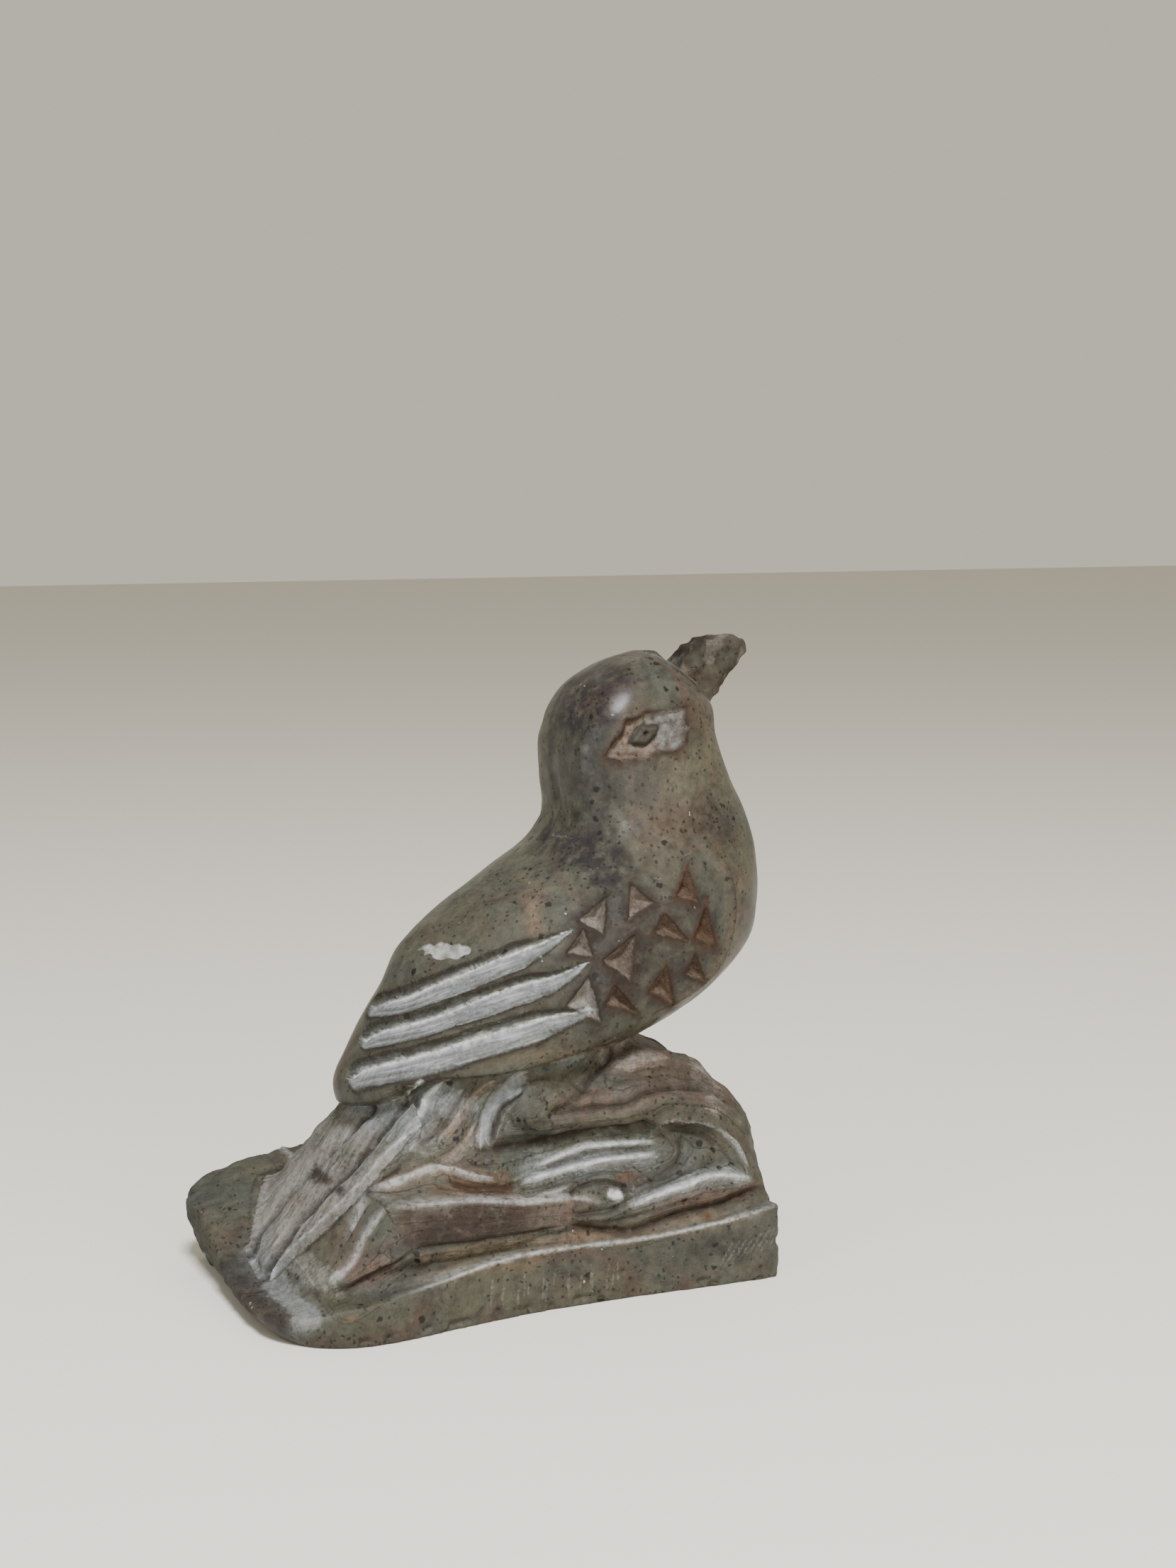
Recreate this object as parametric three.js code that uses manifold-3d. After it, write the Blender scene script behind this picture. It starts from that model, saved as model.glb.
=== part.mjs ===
// A small soapstone carving of a perched bird: head thrown back, beak broken to a stub, wings folded,
// and the tail laid down the end of the rock. Bird and rock are one piece of stone, so they are one
// closed solid: smooth masses are joined first and then cut, as a carver cuts them.
// Millimetres, +Z up, +X from the tail towards the breast, -Y the side seen in the front view.
// The origin is under the middle of the stone, on the surface it stands on.
import * as THREE from "three";
import { mergeVertices } from "three/addons/utils/BufferGeometryUtils.js";
import { ConvexGeometry } from "three/addons/geometries/ConvexGeometry.js";
import Module from "manifold-3d";

const wasm = await Module();
wasm.setup();

// A level is a height, its back and front in x, its half width in y, and how square it is behind and
// in front: 2 is an ellipse, less is more pointed, more is flatter.
const BODY_LEVELS = [
  [22.2, -20.3, 4.0, 11.4, 1.7, 2.0],
  [25.0, -20.7, 9.0, 13.2, 1.7, 2.0],
  [28.5, -19.1, 15.3, 14.4, 1.7, 2.1],
  [32.0, -17.1, 23.3, 15.0, 1.8, 2.2],
  [36.0, -14.6, 29.4, 15.2, 1.8, 2.2],
  [40.0, -12.5, 33.0, 15.0, 1.9, 2.2],
  [44.0, -7.7, 33.8, 14.6, 2.1, 2.2],
  [48.0, -0.9, 33.8, 13.8, 2.4, 2.2],
  [52.0, 5.6, 33.2, 12.3, 2.8, 2.2],
  [56.0, 8.0, 32.0, 10.6, 3.2, 2.2],
  [60.0, 7.8, 30.2, 9.7, 3.4, 2.2],
  [65.0, 7.5, 28.4, 9.3, 3.2, 2.2],
  [69.0, 8.5, 27.6, 8.8, 2.8, 2.3],
  [72.0, 10.9, 25.0, 7.2, 2.5, 2.3],
  [74.3, 15.3, 22.1, 4.8, 2.3, 2.2],
  [75.4, 18.8, 21.0, 2.0, 2.0, 2.0],
];
// Belly and thighs, set in under the wings, and the end of the stone that the tail lies on.
const HAUNCH_LEVELS = [
  [2.0, -32.2, 4.0, 17.4, 5.5, 2.2],
  [6.0, -28.6, 5.0, 17.0, 5.5, 2.2],
  [10.0, -24.9, 6.0, 16.6, 5.0, 2.2],
  [14.0, -21.6, 8.0, 15.2, 4.4, 2.2],
  [18.0, -18.2, 10.0, 13.4, 3.8, 2.2],
  [22.0, -15.4, 11.5, 12.2, 2.8, 2.2],
  [25.0, -15.2, 12.0, 11.9, 2.2, 2.2],
  [29.0, -16.6, 12.0, 12.6, 1.8, 2.2],
];
// The mound under the breast.
const MOUND_LEVELS = [
  [2.0, -26.0, 29.6, 17.2, 3.0, 20],
  [8.0, -22.0, 29.8, 17.2, 2.6, 12],
  [13.5, -17.0, 30.5, 15.6, 2.4, 6.0],
  [17.0, -13.0, 30.7, 14.2, 2.3, 4.4],
  [20.7, -9.0, 28.5, 13.8, 2.2, 3.4],
  [24.0, -5.0, 24.3, 12.4, 2.1, 2.6],
  [27.0, 0.0, 19.6, 10.0, 2.0, 2.2],
  [29.5, 5.0, 15.0, 6.4, 2.0, 2.0],
];
// The foot: x, the height of its top edge there on the near and far side, and its near half width.
const FOOT_EDGES = [
  [-34.8, 3.4, 8.4, 18.6],
  [-31.0, 3.8, 10.8, 19.5],
  [-25.0, 4.8, 12.2, 20.4],
  [-19.0, 5.6, 13.0, 20.0],
  [-12.0, 6.6, 13.8, 18.9],
  [-3.0, 7.4, 14.0, 17.8],
  [11.0, 7.2, 13.4, 17.7],
  [21.0, 7.8, 12.6, 18.2],
  [29.9, 9.2, 11.8, 18.6],
];
const FOOT_HALF = 18.5; // far side
const FOOT_UNDERCUT = 2.6; // how far the tail end leans out over the floor
// Corners of the face it stands on, x and y. Round it the foot's lower edge is worn back a little.
const STANDING = [
  [-31.4, 17.4], [29.2, 17.8], [29.2, -16.9], [-22, -18.2], [-28.8, -17.2], [-31.2, -13],
];
const WORN_BACK = { reach: 8, height: 0.93 };
const CORNER_SQUARE = 30;
const CORNER_WORN = 6.5; // the near corner at the tail is knocked round
// The tail: a crowned slab that widens to three blunt feathers.
const TAIL = {
  root: [-14.0, 26.6], // x and z of its ridge under the wings
  end: [-31.0, 5.5],
  middle: [-0.8, -0.4, 0.6, 1.4, 2, -1.1], // y of its centre line, from the root to the end
  half: [9.9, 9.9, 10.2, 9.8, 8.4, 3.5], // half widths
  crown: [3.4, 0.6], // fall from the ridge to the edges, at the root and at the end
  grooves: [
    [-0.2, -0.16, -0.1, 0.06, 0.16, 0.5],
    [-0.62, -0.62, -0.62, -0.56, -0.62, -0.8],
  ], // places of the two grooves across the half width
  groove: { depth: 1.3, spread: 0.13 },
  thick: 7,
};
// Folds of the rock, rounded ropes of stone round its side: centre points and radii.
const FOLDS = [
  {
    line: [
      [3, -7.4, 25.6], [9, -8.8, 25.4], [15, -8.6, 25.5], [20, -7, 24.4], [24.6, -5, 21.8], [28.4, -3, 16],
    ],
    radii: [0.6, 1.9, 2.3, 2.1, 2.0, 1.2],
  },
  {
    line: [
      [-4, -10, 25.6], [0, -11, 22.8], [7, -12, 21.4], [13, -12.4, 22], [20, -11.6, 20.8], [26.4, -10.4, 15],
    ],
    radii: [2.0, 3.6, 2.9, 3.0, 3.1, 1.9],
  },
  {
    line: [
      [0.5, -15.4, 10.4], [6, -15.2, 10], [12, -14.8, 11.2], [18, -14.4, 12], [23.6, -13.8, 12.2],
      [27.4, -12.8, 11],
    ],
    radii: [0.5, 1.8, 2.4, 2.8, 2.8, 1.8],
  },
];
// A flat panel left proud of the near side, and the facet that runs from it down towards the tail: x, y, z.
const PANEL = [
  [-20.6, -16.2, 14.6], [-12.6, -17.1, 14.6], [-3.4, -17.3, 13.3], [3.4, -16.3, 12.7], [10.6, -14.6, 10.2],
  [5, -17, 9.4], [-2.2, -18, 9.9], [-16.8, -18.1, 9.8], [-19.4, -18, 8.9], [-26.6, -16, 5.4],
  [-27, -13.8, 6.4], [-21.6, -13.6, 14.4], [-12, -10, 15.4], [9, -10, 12], [-20, -10, 4], [9, -10, 6],
];
// Gouge cuts between the belly and the thigh, down from the wing.
const TUFTS = [
  { width: 2.2, line: [[-0.4, -12.4, 27.6], [-3.4, -12.2, 25.4], [-5.6, -12.4, 23], [-6.4, -12.8, 19.8]] },
  { width: 1.6, line: [[-3.4, -12.4, 26.9], [-6.4, -12.2, 26], [-8.8, -12.2, 24.2], [-9.8, -12.4, 22]] },
];
const TUFT_DEPTH = 0.9;
// The underside of the wing, from its tip forward: x and z.
const WING_EDGE = [[-21, 22.2], [-18.6, 23.6], [-15.4, 26], [-11.8, 27.2], [-3, 27.9], [11.1, 30.3]];
// Flutes of the wing, gouged from a point at the front to a round end at the back.
const FLUTES = [
  {
    width: 2.6,
    line: [
      [3.9, -13.6, 44], [-0.6, -13, 42], [-5.4, -11.3, 40.1], [-9.8, -8.4, 37.8], [-13, -3.8, 35.3],
      [-14.4, 0.4, 33.9],
    ],
  },
  {
    width: 2.6,
    line: [
      [5.4, -14.9, 40.2], [1.4, -14.6, 38.3], [-3.4, -13.7, 37.1], [-8.4, -11.5, 35.4], [-13.2, -7.6, 33.1],
      [-16.3, -2, 30.7],
    ],
  },
  {
    width: 3,
    line: [
      [6.6, -15.2, 34.6], [1.6, -15, 33.7], [-3.6, -14.3, 32.5], [-8.8, -12.8, 31.1], [-14, -9.6, 29.2],
      [-18, -3, 26.6],
    ],
  },
];
const FLUTE_DEPTH = 1.15;
// Nicks of the shoulder, three-cornered chips lifted with the point of a knife: x and z of the corners.
const NICKS = [
  [[8.4, 47.3], [5.1, 45.1], [7.5, 43.5]],
  [[11.7, 48.7], [14.1, 46.5], [11, 45]],
  [[19.1, 49.8], [17.5, 47.2], [20.1, 46.2]],
  [[15.7, 44.9], [14.2, 43], [18.6, 41.7]],
  [[21.4, 45.3], [20, 41.8], [22.9, 40.8]],
  [[5.3, 43.9], [3.3, 41.4], [6, 41]],
  [[11.4, 42.8], [7.6, 40.3], [10.7, 37.7]],
  [[20, 39.7], [18.7, 37.5], [21.8, 36.2]],
  [[15.7, 38.5], [13.6, 36.2], [17.2, 33.9]],
  [[8.8, 37.1], [7.8, 35.2], [11.8, 33.6]],
  [[5.5, 38.3], [3, 35.4], [6.8, 33.2]],
];
const NICK_DEPTH = 1.25;
const NICK_SPREAD = 1.08;
// The eye: a lens-shaped hollow, with an almond left standing in it and a drilled pupil.
const EYE_HOLLOW = [[10.6, 63.4], [12.8, 66.6], [15.9, 68.5], [19, 68.9], [21.3, 68.5], [20.8, 64], [16.3, 63.5]];
const EYE_ALMOND = [[13.5, 65.2], [15.6, 67.2], [17.9, 66.9], [15.8, 64.8]];
const EYE_DEPTH = 0.7;
const PUPIL = { x: 15.8, z: 66.1, radius: 0.4, depth: 0.5 };
// The broken beak, seen from the side: x, half width and z of the corners of its rough faces.
const BEAK = [
  [23.6, 2.6, 73.4],
  [25.2, 2.2, 75.6],
  [29.0, 1.8, 77.1],
  [30.5, 1.5, 77.1],
  [31.8, 1.7, 76.5],
  [33.4, 1.4, 76.3],
  [33.6, 1.6, 74.9],
  [31.4, 2.0, 72.8],
  [29.6, 2.4, 70.6],
  [28.6, 2.4, 68.8],
  [24.0, 3.6, 68.0],
];
const STONE = { color: "#6f6a5c", roughness: 0.5, metalness: 0 };

// Moves every point of a geometry.
function moved(geometry, place) {
  const position = geometry.attributes.position;
  const point = new THREE.Vector3();
  for (let i = 0; i < position.count; i += 1) {
    point.fromBufferAttribute(position, i);
    position.setXYZ(i, ...place(point));
  }
  return geometry;
}

// A closed geometry as a solid that can be joined and cut.
function solid(geometry) {
  geometry.deleteAttribute("normal");
  geometry.deleteAttribute("uv");
  const merged = mergeVertices(geometry);
  const vertProperties = new Float32Array(merged.attributes.position.array);
  const triVerts = new Uint32Array(merged.index.array);
  return new wasm.Manifold(new wasm.Mesh({ numProp: 3, vertProperties, triVerts }));
}

// The same cut or mass on the other side of the bird.
function mirrored(points) {
  return points.map(([x, y, z]) => [x, -y, z]);
}

// A table of rows as a smooth function of its first column.
function smooth(table) {
  const values = table.flatMap((row) => row.slice(1));
  return new THREE.CubicInterpolant(table.map(([first]) => first), values, table[0].length - 1);
}

// A table of values at even steps from 0 to 1.
function profile(values) {
  return smooth(values.map((value, i) => [i / (values.length - 1), value]));
}

// How far a point of a circle or square moves out to lie on a level as square as the power says.
function rounding(x, y, power) {
  return (Math.abs(x) ** power + Math.abs(y) ** power) ** (-1 / power);
}

// A mass built up of levels, with some bands of faces from each level to the next.
function stack(levels, columns, bands) {
  const form = smooth(levels);
  const rows = (levels.length - 1) * bands;
  return moved(new THREE.CylinderGeometry(1, 1, 1, columns, rows), (p) => {
    const row = Math.round((p.y + 0.5) * rows);
    const lower = Math.min(Math.floor(row / bands), levels.length - 2);
    const z = THREE.MathUtils.lerp(levels[lower][0], levels[lower + 1][0], row / bands - lower);
    const [back, front, half, rear, fore] = form.evaluate(z);
    const onRim = Math.hypot(p.x, p.z) > 0.5;
    const out = onRim ? rounding(p.x, p.z, p.x < 0 ? rear : fore) : 0;
    return [(back + front) / 2 + ((front - back) / 2) * p.x * out, -half * p.z * out, z];
  });
}

const makeBodyStack = (levels) => solid(stack(levels, 34, 3));

// How far out a point is in its level: 1 on the surface, less inside.
const bodyForm = smooth(BODY_LEVELS);
function outness([x, y, z]) {
  const [back, front, half, rear, fore] = bodyForm.evaluate(z);
  const along = (2 * x - back - front) / (front - back);
  const power = along < 0 ? rear : fore;
  return (Math.abs(along) ** power + Math.abs(y / half) ** power) ** (1 / power);
}

// The point of the body's surface straight out from a point near it.
function onBody([x, y, z]) {
  const [back, front] = bodyForm.evaluate(z);
  const middle = (back + front) / 2;
  const out = outness([x, y, z]);
  return new THREE.Vector3(middle + (x - middle) / out, y / out, z);
}

// The point of the body's surface that the side view shows at x and z.
function onSide([x, z], side) {
  const [back, front, half, rear, fore] = bodyForm.evaluate(z);
  const along = (2 * x - back - front) / (front - back);
  const power = along < 0 ? rear : fore;
  return new THREE.Vector3(x, side * half * (1 - Math.abs(along) ** power) ** (1 / power), z);
}

const REACH = 0.2; // step over which a slope is measured
function outward(point) {
  const slope = (axis) => {
    const step = new THREE.Vector3().setComponent(axis, REACH);
    return outness(point.clone().add(step)) - outness(point.clone().sub(step));
  };
  return new THREE.Vector3(slope(0), slope(1), slope(2)).normalize();
}

// A rope or a gouge cut along a line: its half width and half depth change along it.
function sweep(points, facing, section, sides, rows) {
  const curve = new THREE.CatmullRomCurve3(points);
  return moved(new THREE.CylinderGeometry(1, 1, 1, sides, rows), (p) => {
    const t = Math.sin((p.y + 0.5) * (Math.PI / 2));
    const centre = curve.getPointAt(t);
    const along = curve.getTangentAt(t);
    const out = facing(centre).projectOnPlane(along).normalize();
    const across = along.cross(out);
    const [half, depth] = section(t);
    return centre.addScaledVector(across, p.x * half).addScaledVector(out, p.z * depth);
  });
}

// A shape of the side view, as a prism from the middle plane out past one side.
const PRISM_LENGTH = 30;
function prism(outline, side) {
  const shape = new THREE.Shape(outline.map(([x, z]) => new THREE.Vector2(x, z)));
  const geometry = new THREE.ExtrudeGeometry(shape, { depth: PRISM_LENGTH, bevelEnabled: false });
  geometry.rotateX(Math.PI / 2);
  return solid(side < 0 ? geometry : geometry.translate(0, PRISM_LENGTH, 0));
}

function makeBody() {
  const under = [[-30, 10], [-30, 20], ...WING_EDGE, [11.1, 10]];
  return makeBodyStack(BODY_LEVELS).subtract(prism(under, -1)).subtract(prism(under, 1));
}

function makeFoot() {
  const edges = smooth(FOOT_EDGES);
  const left = FOOT_EDGES[0][0];
  const right = FOOT_EDGES.at(-1)[0];
  return moved(new THREE.BoxGeometry(2, 2, 1, 18, 10, 2), (p) => {
    const power = p.x < 0 && p.y < 0 ? CORNER_WORN : CORNER_SQUARE;
    const square = Math.max(Math.abs(p.x), Math.abs(p.y));
    const round = square > 0.01 ? rounding(p.x, p.y, power) * square : 1;
    const inset = p.x < 0 ? FOOT_UNDERCUT * (0.5 - p.z) ** 2 : 0;
    const x = (left + right) / 2 + ((right - left) / 2 - inset) * p.x * round;
    const [near, far, nearHalf] = edges.evaluate(THREE.MathUtils.clamp(x, left, right));
    const y = (p.y < 0 ? nearHalf : FOOT_HALF) * p.y * round;
    const height = THREE.MathUtils.lerp(near, far, THREE.MathUtils.smoothstep(y, -6, 15));
    return [x, y, height * (p.z + 0.5)];
  });
}

// All the room above the standing face and its worn edge.
function makeStandingRoom() {
  const corners = STANDING.flatMap(([x, y]) => {
    const out = [x + Math.sign(x) * WORN_BACK.reach, y + Math.sign(y) * WORN_BACK.reach];
    return [[x, y, 0], [...out, WORN_BACK.height], [...out, 90]];
  });
  return solid(new ConvexGeometry(corners.map((corner) => new THREE.Vector3(...corner))));
}

function makeTail() {
  const half = profile(TAIL.half);
  const centre = profile(TAIL.middle);
  const grooves = TAIL.grooves.map(profile);
  return moved(new THREE.BoxGeometry(2, 1, 1, 18, 8, 1), (p) => {
    const t = p.y + 0.5;
    const { lerp } = THREE.MathUtils;
    const across = p.x;
    const groove = grooves
      .map((place) => Math.exp(-(((across - place.evaluate(t)[0]) / TAIL.groove.spread) ** 2)))
      .reduce((sum, value) => sum + value);
    const fall = lerp(...TAIL.crown, t) * across ** 2 + TAIL.groove.depth * groove;
    const down = p.z > 0 ? fall : fall + TAIL.thick;
    const notch = 1.2 * groove * t ** 8;
    return [
      lerp(TAIL.root[0], TAIL.end[0] + notch, t),
      centre.evaluate(t)[0] + half.evaluate(t)[0] * across,
      Math.max(lerp(TAIL.root[1], TAIL.end[1], t) - down, 0.5),
    ];
  });
}

function makeFold({ line, radii }, side) {
  const points = (side < 0 ? line : mirrored(line)).map((point) => new THREE.Vector3(...point));
  const radius = profile(radii);
  const facing = () => new THREE.Vector3(0, side, 0.3);
  return sweep(points, facing, (t) => [radius.evaluate(t)[0], radius.evaluate(t)[0]], 8, 10);
}

function makeFlute({ line, width }, side) {
  const points = side < 0 ? line : mirrored(line.slice(0, -1));
  const roundFrom = 0.93; // where the round end begins along the line
  const section = (t) => {
    const point = Math.min(1, 0.06 + t / 0.28) ** 0.85;
    const past = Math.max(0, t - roundFrom) / (1 - roundFrom);
    const end = Math.sqrt(Math.max(0.04, 1 - past ** 2));
    return [(width / 2) * point * end, FLUTE_DEPTH * point * end];
  };
  return sweep(points.map(onBody), outward, section, 7, 10);
}

function makeTuft({ line, width }, side) {
  const points = (side < 0 ? line : mirrored(line)).map((point) => new THREE.Vector3(...point));
  const section = (t) => {
    const taper = 0.15 + 0.85 * Math.sin(Math.PI * t) ** 0.6;
    return [(width / 2) * taper, TUFT_DEPTH * taper];
  };
  return sweep(points, () => new THREE.Vector3(0, side, 0), section, 7, 8);
}

function makeNick(corners, side) {
  const [midX, midZ] = [0, 1].map((axis) => corners.reduce((sum, corner) => sum + corner[axis] / 3, 0));
  const rim = corners.map(([x, z]) => (
    onSide([midX + (x - midX) * NICK_SPREAD, midZ + (z - midZ) * NICK_SPREAD], side)
  ));
  const middle = rim.reduce((sum, point) => sum.add(point), new THREE.Vector3()).divideScalar(3);
  const bottom = middle.addScaledVector(outward(middle), -NICK_DEPTH);
  return new ConvexGeometry([bottom, ...rim.map((point) => point.sub(bottom).multiplyScalar(2).add(bottom))]);
}

function makeEye(side) {
  const inner = BODY_LEVELS.map(([z, back, front, half, ...squareness]) => [
    z, back + EYE_DEPTH, front - EYE_DEPTH, half - EYE_DEPTH, ...squareness,
  ]);
  const ground = makeBodyStack(inner);
  const centre = onSide([PUPIL.x, PUPIL.z], side);
  const hole = new THREE.CylinderGeometry(PUPIL.radius, PUPIL.radius, 2 * PUPIL.depth, 8);
  const turn = new THREE.Quaternion().setFromUnitVectors(new THREE.Vector3(0, 1, 0), outward(centre));
  hole.applyQuaternion(turn).translate(...centre);
  return prism(EYE_HOLLOW, side).subtract(ground).subtract(prism(EYE_ALMOND, side)).add(solid(hole));
}

function makeBeak() {
  const corners = BEAK.flatMap(([x, half, z]) => [new THREE.Vector3(x, -half, z), new THREE.Vector3(x, half, z)]);
  return new ConvexGeometry(corners);
}

const masses = [
  solid(stack(HAUNCH_LEVELS, 30, 2)),
  solid(stack(MOUND_LEVELS, 34, 2)),
  solid(makeFoot()),
  solid(makeTail()),
  solid(makeBeak()),
  solid(new ConvexGeometry(PANEL.map((point) => new THREE.Vector3(...point)))),
];
const cuts = [];
for (const side of [-1, 1]) {
  masses.push(...FOLDS.map((fold) => solid(makeFold(fold, side))));
  cuts.push(...TUFTS.map((tuft) => solid(makeTuft(tuft, side))));
  cuts.push(...FLUTES.map((flute) => solid(makeFlute(flute, side))));
  cuts.push(...NICKS.map((nick) => solid(makeNick(nick, side))));
  cuts.push(makeEye(side));
}
const joined = masses.reduce((whole, mass) => whole.add(mass), makeBody());
const standing = joined.intersect(makeStandingRoom());
const carved = cuts.reduce((whole, cut) => whole.subtract(cut), standing).getMesh();

const geometry = new THREE.BufferGeometry();
geometry.setAttribute("position", new THREE.BufferAttribute(carved.vertProperties, carved.numProp));
geometry.setIndex(new THREE.BufferAttribute(carved.triVerts, 1));
geometry.computeBoundingBox();
const middle = geometry.boundingBox.getCenter(new THREE.Vector3());
geometry.translate(-middle.x, -middle.y, 0);
const bird = new THREE.Mesh(geometry, new THREE.MeshStandardMaterial(STONE));
bird.name = "soapstone_bird";

const group = new THREE.Group();
group.add(bird);

export default group;
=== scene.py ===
import bmesh
import bpy
import numpy as np
from mathutils import Matrix, Vector


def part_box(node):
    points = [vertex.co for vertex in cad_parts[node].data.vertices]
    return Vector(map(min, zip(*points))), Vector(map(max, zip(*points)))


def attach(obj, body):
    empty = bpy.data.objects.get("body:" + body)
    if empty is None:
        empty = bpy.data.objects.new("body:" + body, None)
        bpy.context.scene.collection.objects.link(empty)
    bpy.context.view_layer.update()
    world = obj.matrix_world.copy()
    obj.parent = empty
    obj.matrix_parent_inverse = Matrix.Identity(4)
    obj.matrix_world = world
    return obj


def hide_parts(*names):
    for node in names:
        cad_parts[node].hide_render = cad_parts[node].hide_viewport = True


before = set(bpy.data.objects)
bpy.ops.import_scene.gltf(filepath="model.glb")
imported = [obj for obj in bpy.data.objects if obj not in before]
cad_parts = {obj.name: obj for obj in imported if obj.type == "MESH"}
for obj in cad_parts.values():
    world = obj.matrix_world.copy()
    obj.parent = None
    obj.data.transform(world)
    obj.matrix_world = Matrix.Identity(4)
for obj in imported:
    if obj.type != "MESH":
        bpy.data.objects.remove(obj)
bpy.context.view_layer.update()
mm = 0.001

# The carver's numbers are millimetres. Their x starts from the foot's tail end and their y from its far
# side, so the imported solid's box says where they lie in the frame.
footLeft = -34.8
footFar = 18.5
lowCorner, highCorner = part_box("soapstone_bird")
carvingShift = np.array([lowCorner.x / mm - footLeft, highCorner.y / mm - footFar, 0.0])
print("frame loaded, carving shift", carvingShift.round(3))


# Curves and distances.

# A smooth curve through the rows of a table, read at the given values of its first column.
def smoothTable(table, at):
    table = np.array(table, float)
    keys, values = table[:, 0], table[:, 1:]
    chords = np.diff(values, axis=0) / np.diff(keys)[:, None]
    slopes = np.vstack([chords[:1], (chords[1:] + chords[:-1]) / 2, chords[-1:]])
    at = np.clip(np.asarray(at, float), keys[0], keys[-1])
    i = np.clip(np.searchsorted(keys, at, side="right") - 1, 0, len(keys) - 2)
    step = (keys[i + 1] - keys[i])[:, None]
    t = (at - keys[i])[:, None] / step
    return (
        (2 * t**3 - 3 * t**2 + 1) * values[i]
        + (t**3 - 2 * t**2 + t) * step * slopes[i]
        + (3 * t**2 - 2 * t**3) * values[i + 1]
        + (t**3 - t**2) * step * slopes[i + 1]
    )


def smoothLine(points, spacing=0.4):
    points = np.array(points, float)
    length = np.linalg.norm(np.diff(points, axis=0), axis=1).sum()
    at = np.linspace(0, len(points) - 1, max(int(length / spacing), 2) + 1)
    return smoothTable(np.c_[np.arange(len(points)), points], at)


def smoothStep(value, low, high):
    t = np.clip((value - low) / (high - low), 0, 1)
    return t * t * (3 - 2 * t)


# A smooth bump: 1 where the value is 0, and almost none twice the width away.
def bell(value, width):
    return np.exp(-((value / width) ** 2))


# For each point: its distance to a line, how far along the line that is, and the gap from the line to it.
def nearest(points, line):
    best = np.full(len(points), np.inf)
    run = np.zeros(len(points))
    gaps = np.zeros_like(points)
    lengths = np.linalg.norm(np.diff(line, axis=0), axis=1)
    starts = np.concatenate([[0], np.cumsum(lengths)])
    for a, b, length, start in zip(line[:-1], line[1:], lengths, starts):
        t = np.clip((points - a) @ (b - a) / length**2, 0, 1)
        gap = points - a - t[:, None] * (b - a)
        far = (gap**2).sum(1)
        closer = far < best
        best[closer] = far[closer]
        run[closer] = (start + t[closer] * length) / starts[-1]
        gaps[closer] = gap[closer]
    return np.sqrt(best), run, gaps


def insideOutline(points, outline):
    inside = np.zeros(len(points), bool)
    for (x0, z0), (x1, z1) in zip(outline, np.roll(outline, -1, axis=0)):
        crosses = (points[:, 1] < z0) != (points[:, 1] < z1)
        with np.errstate(divide="ignore", invalid="ignore"):
            atX = x0 + (points[:, 1] - z0) * (x1 - x0) / (z1 - z0)
        inside ^= crosses & (points[:, 0] < atX)
    return inside


# Smooth lumpy noise between -1 and 1, with lumps of the given size.
def lumps(points, size, seed=1):
    cell = points / size + 100 + seed * 7.3
    base = np.floor(cell).astype(np.int64)
    t = cell - base
    t = t * t * (3 - 2 * t)
    total = np.zeros(len(points))
    for corner in np.ndindex(2, 2, 2):
        at = base + np.array(corner)
        mixed = (at[:, 0] * 73856093) ^ (at[:, 1] * 19349663) ^ (at[:, 2] * 83492791) ^ (seed * 2654435761)
        mixed = (mixed ^ (mixed >> 13)) * 1274126177 & 0x7FFFFFFF
        mixed = (mixed ^ (mixed >> 16)) & 0xFFFF
        weight = np.prod(np.where(corner, t, 1 - t), axis=1)
        total += weight * (mixed / 32767.5 - 1)
    return total


# The masses of the stone, as the solid has them but with fine faces.

bodyShape = {
    # height, back x, front x, half width, squareness behind and in front
    "levels": [
        (22.2, -20.3, 4, 11.4, 1.7, 2),
        (25, -20.7, 9, 13.2, 1.7, 2),
        (28.5, -19.1, 15.3, 14.4, 1.7, 2.1),
        (32, -17.1, 23.3, 15, 1.8, 2.2),
        (36, -14.6, 29.4, 15.2, 1.8, 2.2),
        (40, -12.5, 33, 15, 1.9, 2.2),
        (44, -7.7, 33.8, 14.6, 2.1, 2.2),
        (48, -0.9, 33.8, 13.8, 2.4, 2.2),
        (52, 5.6, 33.2, 12.3, 2.8, 2.2),
        (56, 8, 32, 10.6, 3.2, 2.2),
        (60, 7.8, 30.2, 9.7, 3.4, 2.2),
        (65, 7.5, 28.4, 9.3, 3.2, 2.2),
        (69, 8.5, 27.6, 8.8, 2.8, 2.3),
        (72, 10.9, 25, 7.2, 2.5, 2.3),
        (74.3, 15.3, 22.1, 4.8, 2.3, 2.2),
        (75.4, 18.8, 21, 2, 2, 2),
    ],
    "wingEdge": [
        (-30, 20), (-21, 22.2), (-18.6, 23.6), (-15.4, 26), (-11.8, 27.2), (-3, 27.9), (11.1, 30.3),
    ],
    "tucked": 0.74,  # how far in the body goes under the wing's edge
    "segments": 150,
    "rows": 190,
}
haunchShape = {
    "levels": [
        (2, -32.2, 4, 17.4, 5.5, 2.2),
        (6, -28.6, 5, 17, 5.5, 2.2),
        (10, -24.9, 6, 16.6, 5, 2.2),
        (14, -21.6, 8, 15.2, 4.4, 2.2),
        (18, -18.2, 10, 13.4, 3.8, 2.2),
        (22, -15.4, 11.5, 12.2, 2.8, 2.2),
        (25, -15.2, 12, 11.9, 2.2, 2.2),
        (29, -16.6, 12, 12.6, 1.8, 2.2),
    ],
    "segments": 140,
    "rows": 80,
}
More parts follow.
